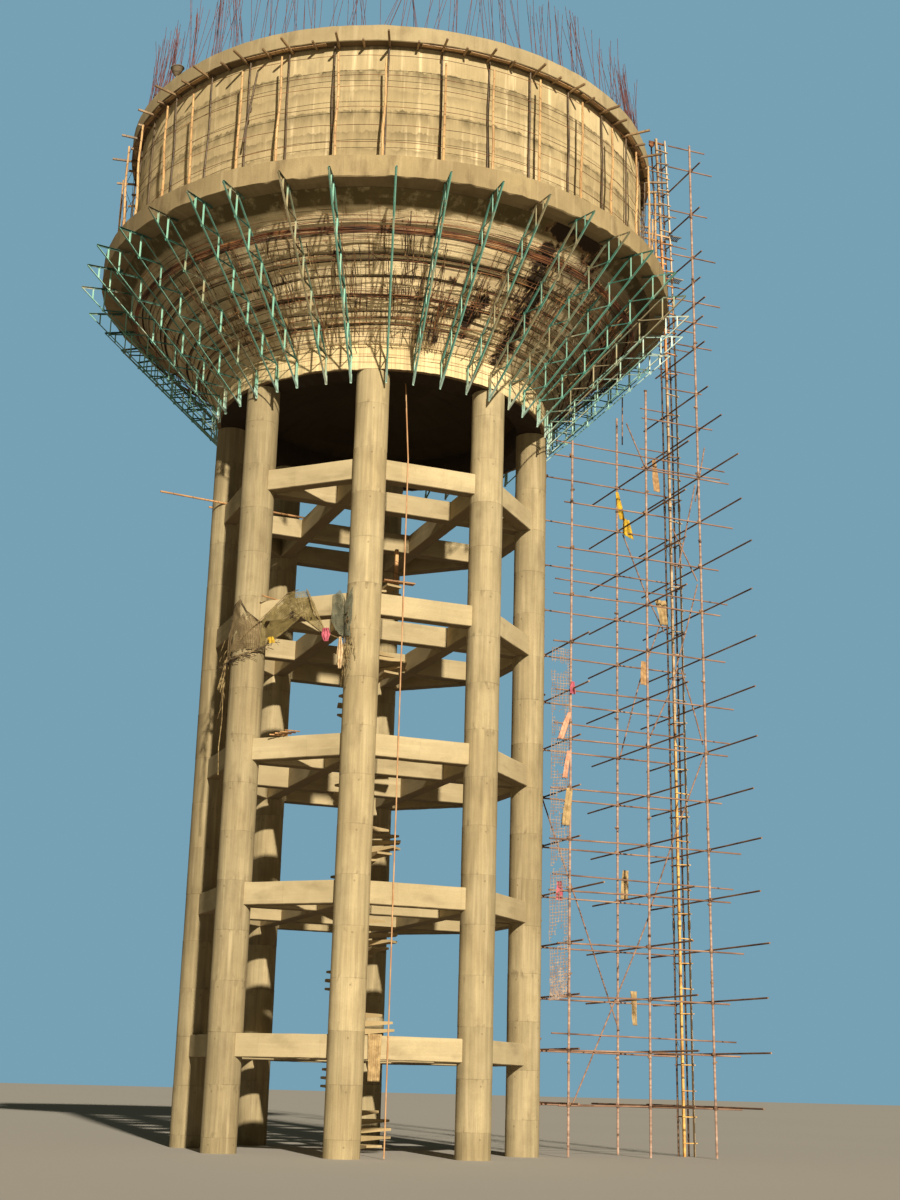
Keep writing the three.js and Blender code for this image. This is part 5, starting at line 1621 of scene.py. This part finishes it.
for rope in ropes:
    straws.append(([beside_beam(s, z, 0.03) for s, z in rope], False, 2.0))
seat(bars("net_straw", straws, 0.013, net_straw, sides=4, wander=0.04, seed=12))
seat(bars("net_fringe", fringe, 0.015, fringe_fibre, sides=4, wander=0.04, seed=12))
torn_nets = [
    ("debris_net", net_top, net_foot, green_net, 4, "side_braces"),
    ("net_scrap_left", left_top, left_foot, brown_net, 9, "columns"),
    ("net_scrap_right", right_top, right_foot, blue_net, 14, "columns"),
]
for name, top, low, finish, seed, rest in torn_nets:
    net, flat, area = torn_net(name, top, low, beside_beam, finish, seed)
    if name == "debris_net":
        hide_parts("debris_net")


def beside_standard(s, z, fold):
    return Vector((s, NEAR_LEDGERS - 0.02 + fold, z))


net, flat, area = torn_net(
    "side_net", [(4.42, 13.1), (4.98, 13.1)], [(4.42, 3.8), (4.98, 3.9)], beside_standard, side_net, 23,
    cord=0.016, weave=5, tears=0.30,
)

# Rags: work cloths and sacks that were tied to the scaffold, the net and the lowest brace and
# left. Each is one piece of woven cloth, gathered where it is tied.


def cloth_finish(name, pale, deep):
    """Sun-faded woven cloth with dirty folds."""
    f = Finish(name, 0.95)
    dirt = f.cloud(7.0, detail=6.0, roughness=0.65)
    thread = f.cloud(160.0, detail=2.0)
    colour = f.stained(deep, dirt, 0.38, 0.62, pale)
    return f.dress(colour, thread, 0.002)


def hang_cloth(name, top, across, down, width, length, finish, folds=3, gather=0.6, spread=0.9,
               tail=None):
    """A cloth of width by length that hangs from a point: gathered at its top, spread below, and
    drawn in again at its tail. Its folds take up the width that is gathered, so its size holds."""
    tail = spread if tail is None else tail
    across, down = Vector(across).normalized(), Vector(down).normalized()
    out = across.cross(down).normalized()
    columns, rows = 6 * folds + 4, 24
    points, faces = [], []
    for j in range(rows + 1):
        t = j / rows
        share = gather + (spread - gather) * min(1.0, 1.8 * t) + (tail - spread) * max(0.0, 1.8 * t - 0.8)
        deep = width / (2 * math.pi * folds) * math.sqrt(2 * (1 - share * share))
        for i in range(columns + 1):
            u = i / columns - 0.5
            wave = deep * math.sin(2 * math.pi * folds * u + 1.5 * t)
            sway = 0.05 * t * ripple(u * 2, t * 2, length * 9)
            place = Vector(top) + across * (u * width * share) + down * (length * t)
            points.append(place + out * (wave + sway))
    for j in range(rows):
        for i in range(columns):
            a = j * (columns + 1) + i
            faces.append([a, a + 1, a + columns + 2, a + columns + 1])
    cloth = thin_sheet(name, points, faces, finish)


yellow = cloth_finish("yellow_cloth", (0.72, 0.47, 0.03), (0.42, 0.24, 0.02))
brown = cloth_finish("brown_cloth", (0.50, 0.30, 0.13), (0.28, 0.15, 0.06))
pink = cloth_finish("pink_cloth", (0.62, 0.16, 0.20), (0.34, 0.06, 0.085))
cream = cloth_finish("cream_cloth", (0.70, 0.50, 0.28), (0.45, 0.29, 0.14))
gunny = cloth_finish("gunny_cloth", (0.50, 0.35, 0.16), (0.30, 0.19, 0.08))
peach = cloth_finish("peach_cloth", (0.68, 0.38, 0.24), (0.46, 0.22, 0.13))
# Each rag: where it hangs, how it lies across and how far it falls to the right, its width and
# length, its cloth, and how far it is gathered at its top and spread below.
near, far = NEAR_ROW - 0.05, FAR_ROW - 0.06
behind = FAR_LEDGERS - 0.03
slanted = (1, 0.3, 0)
scaffold_rags = [
    ("yellow_bag", (7.58, FAR_LEDGERS, 17.75), (1, 0.3, -0.2), 0.18, 0.42, 0.55, yellow, 0.5, 0.95),
    ("yellow_strip", (7.28, FAR_LEDGERS, 18.55), (1, 0.2, 0), 0.22, 0.22, 0.85, yellow, 0.4, 0.8),
    ("brown_rag", (8.5, behind, 19.75), (1, 0.2, 0), 0.1, 0.26, 1.0, brown, 0.5, 0.9),
    ("tan_rag", (8.68, behind, 15.42), (1, 0.1, 0.05), 0.18, 0.46, 0.75, gunny, 0.9, 0.6),
    ("low_rag", (8.1, behind, 13.52), (1, 0.2, 0), 0.05, 0.28, 0.7, brown, 0.5, 0.9),
    ("pink_rag", (5.0, near - 0.01, 12.2), slanted, 0, 0.22, 0.34, pink, 0.4, 0.9),
    ("pink_strip", (4.7, NEAR_LEDGERS, 6.85), slanted, 0.05, 0.26, 0.5, pink, 0.6, 0.9),
    ("peach_strip", (4.92, near, 11.35), slanted, -0.35, 0.22, 0.8, peach, 0.5, 0.9),
    ("peach_rag", (4.9, near, 10.3), slanted, -0.15, 0.2, 0.75, peach, 0.5, 0.9),
    ("gunny_strip", (4.93, near, 9.3), slanted, -0.1, 0.3, 1.0, gunny, 0.7, 0.9),
    ("gunny_rag", (7.52, far, 7.5), slanted, -0.05, 0.3, 0.8, gunny, 0.7, 0.9),
    ("low_gunny", (7.75, far, 4.25), slanted, 0.05, 0.28, 0.9, gunny, 0.9, 0.5),
]
for name, top, across, fall, width, length, cloth, gather, spread in scaffold_rags:
    hang_cloth(name, top, across, (fall, 0, -1), width, length, cloth, 2, gather, spread)
# Each rag on the net: how far along the bay and off it, its height, and the rest as above, with
# its folds and how far its tail is drawn in.
net_rags = [
    ("yellow_wrap", 0.8, 0.32, 12.32, 0.2, 0.24, 0.16, yellow, 2, 0.6, 0.8, None),
    ("pink_cloth", 2.36, 0.34, 12.42, 0.1, 0.36, 0.34, pink, 3, 0.45, 0.75, 0.3),
    ("cream_cloth", 2.78, 0.36, 12.15, 0.03, 0.26, 0.8, cream, 2, 0.25, 0.85, 0.22),
]
for name, along, off, z, fall, width, length, cloth, folds, gather, spread, tail in net_rags:
    spot = NET_START + net_run * along + net_out * off
    way = (fall, 0, -1)
    hang_cloth(name, (spot.x, spot.y, z), net_run, way, width, length, cloth, folds, gather, spread,
               tail)
spot = (-0.98, -BRACE_FACE - 0.03, BRACE_LEVELS[0] + 0.3)
hang_cloth("gunny_cloth", spot, (1, 0, 0), (0, 0, -1), 0.42, 1.05, gunny, 3, 0.8, 0.7)

# Left timber: a short prop with its packing on the stair's landing, and bamboo laid across the
# braces where the builders walked.
left_wood = bamboo_finish("left_wood", (0.62, 0.34, 0.13), (0.36, 0.18, 0.07))
timber = Casting()
prop_ring = ((-0.043, -0.043), (0.043, -0.043), (0.043, 0.043), (-0.043, 0.043))
timber.shell([[(0.5 + x, -0.2 + y, z) for x, y in prop_ring] for z in (14.75, 15.3, 15.82)],
             np.linspace(0, 0.34, 5), np.array([0.0, 0.5, 1.07]))
timber.shell([[(x, -0.45 + y, 14.79 + z) for y, z in ((-0.1, 0.0), (0.1, 0.0), (0.1, 0.04), (-0.1, 0.04))]
              for x in (0.05, 0.5, 0.95)], np.linspace(0, 0.5, 5), np.array([0.0, 0.45, 0.9]))
seat(timber.piece("landing_prop", left_wood))
level = BRACE_LEVELS[4] + BRACE_DEPTH / 2 + 0.045
canes = [([(-5.9, 1.05, level + 0.02), (-3.6, 1.25, level), (-1.4, 1.45, level)], False, 0.8),
         ([(-4.4, 1.7, level), (-1.6, 1.75, level + 0.02)], False, 0.8)]
low = BRACE_LEVELS[2] + BRACE_DEPTH / 2 + 0.03
for k in range(4):
    near = (-3.45 + 0.1 * k, -2.50 - 0.12 * k, low + 0.025 * k)
    canes.append(([near, (near[0] + 0.42, near[1] - 0.15 + 0.12 * k, low + 0.04 * k)], False, 0.5))
high = BRACE_LEVELS[3] + BRACE_DEPTH / 2 + 0.035
cane_start = NET_START + net_run * 0.85 - net_out * 0.2
cane_end = NET_START + net_run * 0.55 + net_out * 0.42
canes.append(([(*cane_start.xy, high), (*cane_end.xy, high + 0.03)], False, 0.6))
seat(bars("laid_bamboo", canes, 0.07, left_wood, sides=8, wander=0.03, seed=8))

# Ground and light: a plain pale floor, a low warm key light from behind the viewer, a faint even
# fill in the shadows, and a plain blue-grey backdrop.
SUN_ANGLE = -6.0
SUN_HEIGHT = math.radians(23.0)
SUN_STRENGTH = 5.85
SUN_COLOUR = (1.0, 0.92, 0.78)
FILL_COLOUR = (0.058, 0.066, 0.054, 1.0)
BACKDROP_COLOUR = (0.182, 0.355, 0.46, 1.0)
FLOOR_REACH = 400
floor_mesh = bpy.data.meshes.new("floor")
floor_corners = [(FLOOR_REACH * x, FLOOR_REACH * y, 0) for x, y in ((-1, -1), (1, -1), (1, 1), (-1, 1))]
floor_mesh.from_pydata(floor_corners, [], [(0, 1, 2, 3)])
floor_finish = Finish("floor_paint", 0.9)
floor_colour = floor_finish.blend(floor_finish.cloud(0.05), (0.4, 0.37, 0.32), (0.435, 0.4, 0.345))
floor_mesh.materials.append(floor_finish.dress(floor_colour))
floor = placed("floor", floor_mesh)

key_light = bpy.data.lights.new("key", "SUN")
key_light.energy = SUN_STRENGTH
key_light.color = SUN_COLOUR
key_light.angle = math.radians(1.5)
lamp = placed("key", key_light)
to_sun = plan(SUN_ANGLE, math.cos(SUN_HEIGHT), math.sin(SUN_HEIGHT))
lamp.matrix_world = to_sun.to_track_quat("Z", "Y").to_matrix().to_4x4()

world = bpy.data.worlds.new("backdrop")
world.use_nodes = True
backdrop = world.node_tree.nodes["Background"]
backdrop.inputs[0].default_value = BACKDROP_COLOUR
fill = add_node(world.node_tree, "ShaderNodeBackground", {0: FILL_COLOUR, 1: 1.0}).outputs[0]
seen = add_node(world.node_tree, "ShaderNodeLightPath").outputs["Is Camera Ray"]
inputs = {0: seen, 1: fill, 2: backdrop.outputs[0]}
both = add_node(world.node_tree, "ShaderNodeMixShader", inputs).outputs[0]
add_node(world.node_tree, "ShaderNodeOutputWorld", {0: both}).is_active_output = True
bpy.context.scene.world = world
bpy.context.scene.view_settings.view_transform = "Standard"
